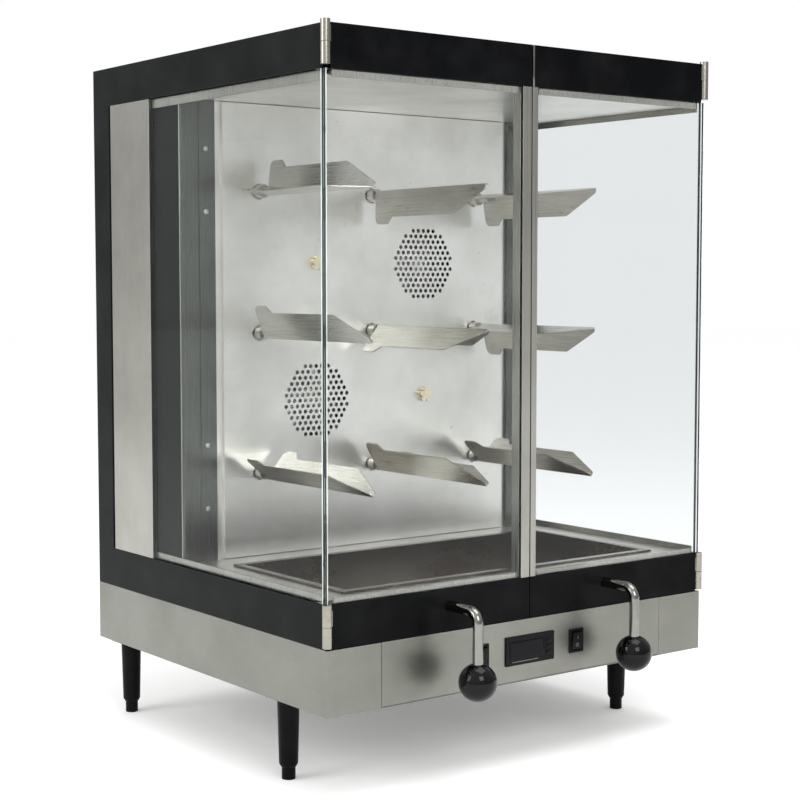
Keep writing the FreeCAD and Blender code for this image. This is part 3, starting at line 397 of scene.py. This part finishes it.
def dark_finish(name, colour, rough, peel=0.0, edge_colour=None, specular=0.5):
    """Enamel, paint or plastic: a mottled tone, an orange peel relief, and worn edges if asked."""
    material, tree, shader = new_material(name)
    shader.inputs["Specular IOR Level"].default_value = specular
    place = add_node(tree, "ShaderNodeTexCoord")
    mottle = noise(tree, place.outputs["Object"], 14.0, 4.0)
    lighter = tuple(min(1.0, channel * 1.5 + 0.004) for channel in colour)
    tone = colour_mix(tree, span(tree, mottle, 0.4, 0.75), colour, lighter)
    if edge_colour:
        edge = use_group(tree, worn_edge, Radius=wear_radius)
        tone = colour_mix(tree, edge.outputs["Edge"], tone, edge_colour)
    join(tree, tone, shader.inputs["Base Color"])
    gloss = span(tree, mottle, 0.3, 0.75, rough - 0.01, rough + 0.03)
    join(tree, gloss, shader.inputs["Roughness"])
    bump(tree, shader, noise(tree, place.outputs["Object"], 260.0, 2.0), peel, 0.0003)
    return material


frame_enamel = dark_finish("frame_enamel", (0.0045, 0.0055, 0.0055), 0.36, 0.10,
                           edge_colour=(0.025, 0.025, 0.025), specular=0.06)
door_enamel = dark_finish("door_enamel", (0.0025, 0.0027, 0.0031), 0.22, 0.05,
                          edge_colour=(0.012, 0.012, 0.012), specular=0.04)
leg_paint = dark_finish("leg_paint", (0.0025, 0.0025, 0.003), 0.38, 0.18,
                        edge_colour=(0.012, 0.012, 0.012), specular=0.08)
ball_plastic = dark_finish("ball_plastic", (0.0010, 0.0010, 0.0012), 0.05, specular=0.20)
case_plastic = dark_finish("case_plastic", (0.003, 0.003, 0.0035), 0.34, 0.12,
                           edge_colour=(0.015, 0.015, 0.015), specular=0.12)
window_plastic = dark_finish("window_plastic", (0.002, 0.002, 0.004), 0.08, specular=0.12)
mark_paint = dark_finish("mark_paint", (0.17, 0.17, 0.165), 0.5, 0.1)
glass_edge = dark_finish("glass_edge", (0.022, 0.030, 0.030), 0.25, 0.05, specular=0.15)
# painted highlight: a pale tone for the bright lines along the panes' ground corners
corner_painted_highlight = dark_finish("corner_painted_highlight", (0.62, 0.66, 0.64), 0.4, 0.05)
motor_paint = dark_finish("motor_paint", (0.16, 0.17, 0.18), 0.45, 0.2, edge_colour=(0.3, 0.3, 0.3))
heater_skin = dark_finish("heater_skin", (0.05, 0.045, 0.04), 0.55, 0.3)
print("dark finishes made")


# %% Mix the bright metals
def bright_metal(name, colour, rough, mark_scale):
    """Plated or cast metal: nearly a mirror, with faint wipe marks in its gloss and its tone."""
    material, tree, shader = new_material(name)
    shader.inputs["Metallic"].default_value = 1.0
    place = add_node(tree, "ShaderNodeTexCoord")
    marks = noise(tree, place.outputs["Object"], mark_scale, 5.0)
    darker = tuple(channel * 0.82 for channel in colour)
    tone = colour_mix(tree, span(tree, marks, 0.4, 0.7), colour, darker)
    join(tree, tone, shader.inputs["Base Color"])
    join(tree, span(tree, marks, 0.3, 0.7, rough, rough + 0.10), shader.inputs["Roughness"])
    bump(tree, shader, marks, 0.02, 0.0005)
    return material


chrome = bright_metal("chrome_plate", (0.25, 0.25, 0.23), 0.05, 30.0)
hinge_nickel = bright_metal("hinge_nickel", (0.34, 0.325, 0.28), 0.22, 50.0)
cream_metal = bright_metal("cream_brass", (0.86, 0.78, 0.58), 0.28, 60.0)
zinc = bright_metal("zinc_plate", (0.60, 0.60, 0.58), 0.25, 40.0)
print("bright metals made")


# %% [markdown]
# ## Glass
# Toughened oven glass is almost colourless through its face and green through its cut edge,
# because there the light travels the long way.  One finish does both: it looks at which way the
# surface faces, and deepens the green on the narrow sides.

# %% Mix the glass
cut_edge_green = (0.45, 0.62, 0.56)


def pane_glass(name, face_axis, tint, bend, gloss):
    """Clear glass whose cut edges, the faces that don't look along face_axis, are green.

    Bend is its index of refraction: a low one keeps the room's reflection faint.
    """
    material, tree, shader = new_material(name)
    shader.inputs["Transmission Weight"].default_value = 1.0
    shader.inputs["IOR"].default_value = bend
    shader.inputs["Specular IOR Level"].default_value = gloss
    surface = add_node(tree, "ShaderNodeTexCoord")
    parts = add_node(tree, "ShaderNodeSeparateXYZ")
    join(tree, surface.outputs["Normal"], parts.inputs["Vector"])
    along = math_node(tree, "ABSOLUTE", parts.outputs[face_axis], 0.0)
    edge = span(tree, along, 0.8, 0.4)
    join(tree, colour_mix(tree, edge, tint, cut_edge_green), shader.inputs["Base Color"])
    film = noise(tree, surface.outputs["Object"], 3.5, 6.0, 0.6)
    join(tree, span(tree, film, 0.55, 0.8, 0.0, 0.06), shader.inputs["Roughness"])
    return material


door_pane_glass = pane_glass("door_pane_glass", 1, (0.915, 0.930, 0.936), 1.22, 0.35)
side_pane_glass = pane_glass("side_pane_glass", 0, (0.855, 0.873, 0.872), 1.13, 0.30)
print("glasses made")


# %% [markdown]
# ## Softening the sheet metal
# A folded sheet or a bent bar never has a perfectly sharp edge; the thin bright line along each
# edge is what makes metal look real.  Each visible part is copied from its frame node, its
# triangles are merged back into clean faces, and its edges are bevelled.  Its shading is weighted
# towards the large faces, so that they stay flat beside the bevels.  The copy takes the node's
# place, and rides on the same body.

# %% Make a softened copy of a frame node
bodies_in_record = frame["record"]["behaviour"]["bodies"]
body_of_node = {node: body for body, nodes in bodies_in_record.items() for node in nodes}
flat_angle, edge_angle, smooth_angle = math.radians(0.6), math.radians(40.0), math.radians(35.0)
weld_gap, full_weight = 0.00002, 100


def only(piece):
    """Select one object alone and make it active."""
    bpy.ops.object.select_all(action="DESELECT")
    piece.select_set(True)
    bpy.context.view_layer.objects.active = piece


def apply_modifier(piece, kind, name, **settings):
    """Put one modifier on a piece and make its result the piece's own mesh."""
    modifier = piece.modifiers.new(name, kind)
    for key, value in settings.items():
        setattr(modifier, key, value)
    only(piece)
    bpy.ops.object.modifier_apply(modifier=name)


def soften(node, finish, radius):
    """A copy of a node with clean faces and bevelled edges, standing for the node."""
    source = frame["nodes"][node]
    piece = bpy.data.objects.new(f"{node}_skin", source.data.copy())
    bpy.context.scene.collection.objects.link(piece)
    piece.data.materials.clear()
    only(piece)
    bpy.ops.object.mode_set(mode="EDIT")
    bpy.ops.mesh.select_all(action="SELECT")
    bpy.ops.mesh.remove_doubles(threshold=weld_gap)
    bpy.ops.mesh.dissolve_limited(angle_limit=flat_angle)
    bpy.ops.object.mode_set(mode="OBJECT")
    apply_modifier(piece, "BEVEL", "edges", width=radius, segments=2, limit_method="ANGLE",
                   angle_limit=edge_angle)
    bpy.ops.object.shade_smooth_by_angle(angle=smooth_angle)
    apply_modifier(piece, "WEIGHTED_NORMAL", "flat faces", weight=full_weight, keep_sharp=True)
    piece.data.materials.append(finish)
    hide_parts(node)
    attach(piece, body_of_node[node])
    return piece


sheet_edge, bar_edge, cast_edge = 0.0005, 0.0012, 0.0009
softened = [
    ("base_housing", steel_level_painted_shade, sheet_edge),
    ("control_panel", steel_level_painted_shade, sheet_edge / 2),
    ("side_frames", frame_enamel, bar_edge),
    ("top_cover", frame_enamel, sheet_edge),
    ("rear_side_panels", steel_upright_painted_light, sheet_edge),
    ("legs", leg_paint, bar_edge),
    ("feet", leg_paint, cast_edge),
    ("controller", case_plastic, cast_edge),
    ("switch_housings", case_plastic, cast_edge / 2),
    ("left_rocker", case_plastic, cast_edge),
    ("right_rocker", case_plastic, cast_edge),
    ("cable_gland", case_plastic, cast_edge),
    ("drip_pan", pan_steel_painted_reflection, sheet_edge),
    ("hinge_brackets", hinge_nickel, cast_edge / 2),
    ("corner_channels", channel_steel_painted_shade, sheet_edge),
    ("glazing_strips", steel_upright_painted_light, sheet_edge),
    ("rear_cover", steel_level_painted_shade, sheet_edge / 2),
    ("cavity_floor", lining_steel_painted_light, sheet_edge),
]
for side, turn in sides:
    softened += [(f"{side}_door_rails", door_enamel, bar_edge),
                 (f"{side}_door_stile", steel_upright_painted_light, sheet_edge),
                 (f"{side}_door_hinges", hinge_nickel, cast_edge / 2)]
softened += [(f"spit_blade_{number}", spit_steel, sheet_edge) for number in spit_numbers]
for node, finish, radius in softened:
    soften(node, finish, radius)
print("softened pieces:", len(softened))

# %% [markdown]
# The wall that carries the spits is plain steel where it faces the cavity, but its two folded side
# flanges are enamelled black, darker than the cavity's steel.  It is one sheet with two finishes:
# the second goes into a second material slot, and the flanges' faces are given to it.

# %% Blacken the wall's flanges
wall_skin = soften("partition_wall", lining_steel_painted_light, sheet_edge)
wall_skin.data.materials.append(frame_enamel)
wall_sheet = 0.0016
flange_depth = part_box("partition_wall")[0][1] + wall_sheet
# the flange faces, behind the wall's face, get the black enamel
for face in wall_skin.data.polygons:
    if face.center.y > flange_depth:
        face.material_index = 1
print("enamelled faces:", sum(face.material_index for face in wall_skin.data.polygons))

# %% [markdown]
# ## Finishes for the parts that keep their own shape
# Glass, the back wall's sheets and the machinery behind it are already the right shape.  They only
# need their finish, which is put into each frame node's material slot.

# %% Finish the remaining frame nodes
finish_of_node = {
    "side_glasses": side_pane_glass,
    "left_door_glass": door_pane_glass, "right_door_glass": door_pane_glass,
    "ceiling_panel": lining_steel_painted_light, "back_baffle": lining_steel_painted_light,
    "baffle_nuts": cream_metal, "spit_bearings": cream_metal,
    "upper_fan_wheel": zinc, "lower_fan_wheel": zinc,
    "fan_motors": motor_paint, "gearmotor": motor_paint,
    "heating_elements": heater_skin, "drive_chains": heater_skin,
    **{f"spit_drive_{number}": spit_steel for number in spit_numbers},
}
for node, finish in finish_of_node.items():
    finishes = frame["nodes"][node].data.materials
    if not finishes:
        finishes.append(finish)
    for index in range(len(finishes)):
        finishes[index] = finish
print("finished nodes:", len(finish_of_node))

# %% [markdown]
# ## Handles and knobs
# Each door is pulled by a chromed rod that comes out of the lower rail, bends over a short radius
# and hangs down into a black ball.  The rod is made as a pipe bender would make it: a disc is
# pushed straight out, spun through the quarter bend, and pushed straight down.

# %% Shape a handle rod
rod_low, rod_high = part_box("left_handle")
knob_low, knob_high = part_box("left_knob")
rail_low, rail_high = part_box("left_door_rails")
rod_radius, rod_middle = (rod_high[0] - rod_low[0]) / 2, (rod_low[0] + rod_high[0]) / 2
drop_y, rod_z = rod_low[1] + rod_radius, rod_high[2] - rod_radius
knob_z = (knob_low[2] + knob_high[2]) / 2
bend_radius, inside_rail = 0.018, 0.008
rod_sides, bend_steps, joint_gap = 40, 14, 0.00001
facing_front = (math.radians(90), 0, 0)


def add_shape(operator, name, **settings):
    """Add a starting shape by its operator, name it, and put its place into its mesh."""
    bpy.ops.object.select_all(action="DESELECT")
    operator(**settings)
    piece = bpy.context.object
    piece.name = name
    bpy.ops.object.transform_apply(location=True, rotation=True, scale=True)
    return piece


def push_out(*move):
    """Extrude the selected faces along a vector."""
    bpy.ops.mesh.extrude_region_move(TRANSFORM_OT_translate={"value": move})


def select_faces(piece, test):
    """Select the faces whose middle and normal pass a test, and go to edit mode."""
    bpy.ops.object.mode_set(mode="OBJECT")
    for item in (*piece.data.vertices, *piece.data.edges, *piece.data.polygons):
        item.select = False
    for face in piece.data.polygons:
        face.select = test(face.center, face.normal)
    bpy.ops.object.mode_set(mode="EDIT")
    bpy.ops.mesh.select_mode(type="FACE")


def settle(piece, sharpest):
    """Leave edit mode, and smooth the shading of edges blunter than an angle in degrees."""
    bpy.ops.object.mode_set(mode="OBJECT")
    only(piece)
    bpy.ops.object.transform_apply(location=True, rotation=True, scale=True)
    bpy.ops.object.shade_smooth_by_angle(angle=math.radians(sharpest))


def put_on(piece, body, finish):
    """Finish a new piece, and say which body carries it."""
    piece.data.materials.clear()
    piece.data.materials.append(finish)
    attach(piece, body)
    return piece


def make_handle(side, x):
    """A rod that comes out of the rail, bends, and ends inside the ball."""
    start_y, bend_y = rail_low[1] + inside_rail, drop_y + bend_radius
    piece = add_shape(bpy.ops.mesh.primitive_circle_add, f"{side}_handle_rod", vertices=rod_sides,
                      radius=rod_radius, fill_type="NGON", location=(x, start_y, rod_z),
                      rotation=facing_front)
    bpy.ops.object.mode_set(mode="EDIT")
    bpy.ops.mesh.select_all(action="SELECT")
    push_out(0, bend_y - start_y, 0)
    bpy.ops.mesh.spin(steps=bend_steps, angle=math.pi / 2, axis=(-1, 0, 0),
                      center=(x, bend_y, rod_z - bend_radius))
    push_out(0, 0, knob_z - rod_z + bend_radius)
    bpy.ops.mesh.select_all(action="SELECT")
    bpy.ops.mesh.remove_doubles(threshold=joint_gap)
    bpy.ops.mesh.normals_make_consistent(inside=False)
    settle(piece, 40.0)
    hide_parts(f"{side}_handle")
    return put_on(piece, f"{side}_latch", chrome)


for side, turn in sides:
    handle = make_handle(side, -turn * rod_middle)
    print(handle.name, [round(value, 4) for value in handle.dimensions])

# %% [markdown]
# The ball is turned from phenolic plastic.  A sphere with a small flat and a shallow dish around
# the rod is closer to a bought knob than a bare sphere: the flat is made by pressing the top
# points down, and the dish by an inset that is pushed in.

# %% Turn the ball knobs
polish = 0.00001
knob_radius = (knob_high[0] - knob_low[0]) / 2 - polish
ball_z = knob_low[2] + knob_radius
flat_z = ball_z + knob_radius * 0.93
dish_rim, dish_depth, reach = 0.0015, 0.0006, 0.0001     # reach: how near counts as level


def make_knob(side, x):
    """A ball with a dished flat on top, where the rod goes in."""
    piece = add_shape(bpy.ops.mesh.primitive_uv_sphere_add, f"{side}_ball_knob", segments=64,
                      ring_count=40, radius=knob_radius, location=(x, drop_y, ball_z))
    for point in piece.data.vertices:
        point.co.z = min(point.co.z, flat_z)
    select_faces(piece, lambda centre, normal: centre.z > flat_z - reach)
    bpy.ops.mesh.dissolve_faces()
    bpy.ops.mesh.inset(thickness=dish_rim)
    push_out(0, 0, -dish_depth)
    settle(piece, 30.0)
    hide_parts(f"{side}_knob")
    return put_on(piece, f"{side}_latch", ball_plastic)


knobs = [make_knob(side, -turn * rod_middle) for side, turn in sides]
print("knobs:", [round(knob.dimensions.z, 4) for knob in knobs])

# %% [markdown]
# ## Strips and trims
# The door panes sit behind thin folded strips at their head and foot, and the right door's head
# rail is finished with a bright edge where the two doors meet.  Each strip starts as a block at
# its real size; its long face is inset and pushed in, as a folded strip is hollow, and its edges
# are bevelled.

# %% Fold a strip
hollow_rim = 0.22


def add_block(name, low, high):
    """A block between two corners, open for editing."""
    middle = [(a + b) / 2 for a, b in zip(low, high)]
    spans = [b - a for a, b in zip(low, high)]
    return add_shape(bpy.ops.mesh.primitive_cube_add, name, size=1.0, location=middle, scale=spans)


def make_bar(name, low, high, edge, hollow=0.0):
    """A strip between two corners, hollowed on its -Y face and softened along its edges."""
    piece = add_block(name, low, high)
    if hollow:
        select_faces(piece, lambda centre, normal: normal.y < -0.9)
        bpy.ops.mesh.inset(thickness=min(high[0] - low[0], high[2] - low[2]) * hollow_rim)
        bpy.ops.transform.translate(value=(0, hollow, 0))
    bpy.ops.object.mode_set(mode="EDIT")
    bpy.ops.mesh.select_all(action="SELECT")
    bpy.ops.mesh.bevel(offset=edge, segments=2, affect="EDGES")
    settle(piece, 35.0)
    return piece


def join_all(pieces, name):
    """Make several pieces one object, as a set of identical fasteners is kept."""
    bpy.ops.object.select_all(action="DESELECT")
    for piece in pieces:
        piece.select_set(True)
    bpy.context.view_layer.objects.active = pieces[0]
    bpy.ops.object.join()
    pieces[0].name = name
    return pieces[0]


print("strip maker ready")

# %% Fit the door strips
head_strip, foot_strip, strip_sheet, strip_fold = 0.010, 0.008, 0.0018, 0.0006
pane_gap, strip_gap, strip_edge = 0.0004, 0.0003, 0.0003
hinge_room, stile_room = 0.014, 0.019
for side, turn in sides:
    pane_low, pane_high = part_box(f"{side}_door_glass")
    stile_low, stile_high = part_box(f"{side}_door_stile")
    pane_edge = max(abs(pane_low[0]), abs(pane_high[0]))
    inner, outer = sorted((turn * (pane_edge - hinge_room), turn * stile_room))
    back, front = pane_high[1] + pane_gap, pane_high[1] + pane_gap + strip_sheet
    strips = [make_bar(f"{side}_head_strip", (inner, back, stile_high[2] - head_strip),
                       (outer, front, stile_high[2] - strip_gap), strip_edge, strip_fold),
              make_bar(f"{side}_foot_strip", (inner, back, stile_low[2] + strip_gap),
                       (outer, front, stile_low[2] + foot_strip), strip_edge, strip_fold)]
    put_on(join_all(strips, f"{side}_door_strips"), f"{side}_door", steel_upright_painted_light)

trim_start, trim_end, trim_proud, trim_depth, trim_edge = 0.0008, 0.0042, 0.0005, 0.004, 0.0004
trim = make_bar("right_head_trim", (trim_start, rail_low[1] - trim_proud, stile_high[2]),
                (trim_end, rail_low[1] + trim_depth, rail_high[2]), trim_edge)
put_on(trim, "right_door", chrome)
print("strips fitted at depth", round(back, 4))

# %% [markdown]
# A pane's cut edge is polished and its corners are ground to a narrow flat, so that nobody is cut.
# The edge shows the grey-green of the pane's whole width, and the white bands beside it are
# painted highlights along the ground corners.  Both are laid on as thin bands at the two front
# corners, where door and side panes meet.

# %% Polish the upright glass edges
band, ground, pane, band_edge = 0.0003, 0.0011, 0.006, 0.0001
sill_z, head_z = stile_low[2], stile_high[2]
door_low, door_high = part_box("right_door_glass")
side_low, side_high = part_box("side_glasses")
door_edge, side_face = door_high[0], side_high[0]


def upright_band(name, turn, x, y, finish, body):
    """A thin band the height of the window; x is measured outwards from the middle."""
    across = sorted((turn * x[0], turn * x[1]))
    piece = make_bar(name, (across[0], y[0], sill_z), (across[1], y[1], head_z), band_edge)
    return put_on(piece, body, finish)


for side, turn in sides:
    upright_band(f"{side}_door_glass_edge", turn, (door_edge, door_edge + band),
                 (door_low[1] + ground, door_high[1] - ground), glass_edge, f"{side}_door")
    # the next band is a painted highlight along the pane's ground corner
    upright_band(f"{side}_door_glass_painted_highlight", turn, (door_edge - ground, door_edge + band / 2),
                 (door_low[1] - band, door_low[1]), corner_painted_highlight, f"{side}_door")
    upright_band(f"{side}_side_glass_edge", turn, (side_face - pane + ground, side_face - ground),
                 (side_low[1] - band, side_low[1]), glass_edge, "cabinet")
    upright_band(f"{side}_side_glass_painted_highlight", turn, (side_face, side_face + band),
                 (side_low[1] - band, side_low[1] + ground), corner_painted_highlight, "cabinet")
print("glass edges polished at", round(door_edge, 4), round(side_face, 4))

# %% [markdown]
# ## Screws
# Round-headed screws hold the corner channels and the rear cover.  One head is modelled: a disc is
# pushed out, stepped in twice to dome it, and pushed back in at the middle for the driver.  The
# others are copies, each with its own mesh, joined into one set as a box of screws would be.

# %% Model one screw head
screw_sides, wall_share, dome_steps = 20, 0.45, ((0.14, 0.28), (0.26, 0.2), (0.2, 0.07))
recess_rim, recess_share = 0.06, 0.45


def make_screw(name, radius, height):
    """A pan head that faces -Y, with its seat at the origin."""
    piece = add_shape(bpy.ops.mesh.primitive_circle_add, name, vertices=screw_sides, radius=radius,
                      fill_type="NGON", rotation=facing_front)
    bpy.ops.object.mode_set(mode="EDIT")
    bpy.ops.mesh.select_all(action="SELECT")
    push_out(0, -height * wall_share, 0)
    for rim, rise in (*dome_steps, (recess_rim, -recess_share)):
        bpy.ops.mesh.inset(thickness=radius * rim)
        bpy.ops.transform.translate(value=(0, -height * rise, 0))
    bpy.ops.mesh.select_all(action="SELECT")
    bpy.ops.mesh.normals_make_consistent(inside=False)
    settle(piece, 40.0)
    return piece


def screw_set(name, spots, radius, height, facing=0.0):
    """Copies of one screw head at each spot, turned about Z to face the right way."""
    pattern = make_screw(name, radius, height)
    heads = []
    for spot in spots:
        head = pattern.copy()
        head.data = pattern.data.copy()
        bpy.context.scene.collection.objects.link(head)
        head.data.transform(Matrix.Translation(spot) @ Matrix.Rotation(facing, 4, "Z"))
        heads.append(head)
    bpy.data.objects.remove(pattern)
    return join_all(heads, name)


channel_low, channel_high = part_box("corner_channels")
screw_x = channel_high[0] - 0.0435
screw_levels = [channel_low[2] + (channel_high[2] - channel_low[2]) * share
                for share in (0.116, 0.255, 0.761, 0.896)]
spots = [(turn * screw_x, channel_low[1], level) for side, turn in sides for level in screw_levels]
channel_set = screw_set("channel_screws", spots, radius=0.0042, height=0.0026)
put_on(channel_set, "cabinet", zinc)
print("channel screws:", len(spots))

# %% Screw on the rear cover
cover_low, cover_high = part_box("rear_cover")
cover_face, edge_gap, middle_screws, cover_rows = cover_high[1], 0.012, (-0.17, 0.0, 0.17), 6
bottom_row, top_row = cover_low[2] + edge_gap, cover_high[2] - edge_gap
levels = [bottom_row + (top_row - bottom_row) * row / (cover_rows - 1) for row in range(cover_rows)]
spots = [(turn * (cover_high[0] - edge_gap), cover_face, level) for side, turn in sides for level in levels]
spots += [(x, cover_face, level) for x in middle_screws for level in (levels[0], levels[-1])]
cover_set = screw_set("rear_cover_screws", spots, radius=0.0045, height=0.0026, facing=math.pi)
put_on(cover_set, "cabinet", zinc)
print("rear cover screws:", len(spots))

# %% [markdown]
# ## Louvre hoods
# The rear cover's slots are lanced: the sheet above each slot is pushed out into a hood that
# sheds water and lets the fan chamber breathe.  A block over the slot gets one large bevel along its
# upper outer edge, and its underside is inset and pushed up to hollow it.

# %% Press the louvre hoods
motor_low, motor_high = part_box("gearmotor")
louvre_middle = (motor_low[2] + motor_high[2]) / 2
louvre_pitch, louvre_half, louvre_offset = 0.022, 0.070, 0.140
hood_levels = (-6, -5, -4, -3, -2, 2, 3, 4, 5, 6)
hood_lip, hood_below, hood_height, hood_depth, hood_sunk = 0.002, 0.0025, 0.011, 0.006, 0.0004
hood_sheet, hood_cavity, hood_round, hood_segments = 0.0012, 0.0035, 0.0052, 6


def select_edge(piece, test):
    """Select the edges whose two ends pass a test, and go to edit mode."""
    select_faces(piece, lambda centre, normal: False)
    bpy.ops.mesh.select_mode(type="EDGE")
    bpy.ops.object.mode_set(mode="OBJECT")
    points = piece.data.vertices
    for edge in piece.data.edges:
        edge.select = all(test(points[index].co) for index in edge.vertices)
    bpy.ops.object.mode_set(mode="EDIT")


def make_hood(name, middle_x, level):
    """A block over one slot, hollow below and rounded along its upper outer edge."""
    bottom = louvre_middle + level * louvre_pitch - hood_below
    low = (middle_x - louvre_half - hood_lip, cover_face - hood_sunk, bottom)
    high = (middle_x + louvre_half + hood_lip, cover_face + hood_depth, bottom + hood_height)
    piece = add_block(name, low, high)
    select_faces(piece, lambda centre, normal: normal.z < -0.9)
    bpy.ops.mesh.inset(thickness=hood_sheet)
    bpy.ops.transform.translate(value=(0, 0, hood_cavity))
    select_edge(piece, lambda point: point.y > high[1] - reach and point.z > high[2] - reach)
    bpy.ops.mesh.bevel(offset=hood_round, segments=hood_segments, affect="EDGES")
    settle(piece, 40.0)
    return piece


hoods = [make_hood("louvre_hood", turn * louvre_offset, level)
         for side, turn in sides for level in hood_levels]
put_on(join_all(hoods, "louvre_hoods"), "cabinet", steel_level_painted_shade)
print("louvre hoods:", len(hoods))

# %% [markdown]
# ## The controls' faces
# The temperature controller has a smoked window set in its bezel, and a few small keys beside it.
# Real ones carry words; here the keys are plain.  The rocker switches carry the plain bar and ring
# that mean on and off.

# %% Glaze the controller
bezel_low, bezel_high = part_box("controller")
bezel_front = bezel_low[1]
window = make_bar("controller_window", (bezel_low[0] + 0.007, bezel_front - 0.0006, bezel_low[2] + 0.010),
                  (bezel_high[0] - 0.022, bezel_front + 0.0005, bezel_high[2] - 0.008), 0.0003, 0.0003)
put_on(window, "cabinet", window_plastic)
key_pitch, key_half, key_edge = 0.0095, 0.0028, 0.0007
keys = []
for row in range(3):
    key_z = bezel_low[2] + 0.013 + row * key_pitch
    keys.append(make_bar("controller_key", (bezel_high[0] - 0.017, bezel_front - 0.0012, key_z - key_half),
                         (bezel_high[0] - 0.007, bezel_front + 0.0004, key_z + key_half), key_edge))
put_on(join_all(keys, "controller_keys"), "cabinet", case_plastic)
underline = make_bar("controller_marks", (bezel_low[0] + 0.012, bezel_front - 0.0003, bezel_low[2] + 0.0052),
                     (bezel_high[0] - 0.034, bezel_front + 0.0003, bezel_low[2] + 0.0060), 0.0001)
put_on(underline, "cabinet", mark_paint)
print("controller face at depth", round(bezel_front, 4))


# %% Mark the rockers
mark_rise, ring_radius, ring_line, bar_edge_round = 0.006, 0.0024, 0.00035, 0.0001
bar_corners = (-0.0004, -0.0002, -ring_radius), (0.0004, 0.0003, ring_radius)


def mark_rocker(side):
    """A bar above and a ring below on the rocker's own tilted face."""
    mesh = frame["nodes"][f"{side}_rocker"].data
    front_faces = [face for face in mesh.polygons if face.normal.y < -0.9]
    area = sum(face.area for face in front_faces)
    middle = sum((face.center * face.area for face in front_faces), Vector()) / area
    outward = front_faces[0].normal.normalized()
    up = Vector((1, 0, 0)).cross(outward).normalized()
    up = up if up.z > 0 else -up
    lean = math.atan2(outward.z, -outward.y)
    ring = add_shape(bpy.ops.mesh.primitive_torus_add, "ring", major_radius=ring_radius,
                     minor_radius=ring_line, major_segments=28, minor_segments=8,
                     location=middle - up * mark_rise, rotation=(math.radians(90) - lean, 0, 0))
    bar = make_bar("bar", *bar_corners, bar_edge_round)
    bar.data.transform(Matrix.Translation(middle + up * mark_rise) @ Matrix.Rotation(-lean, 4, "X"))
    marks = join_all([ring, bar], f"{side}_rocker_marks")
    return put_on(marks, f"{side}_switch", mark_paint)


for side, turn in sides:
    print(mark_rocker(side).name)
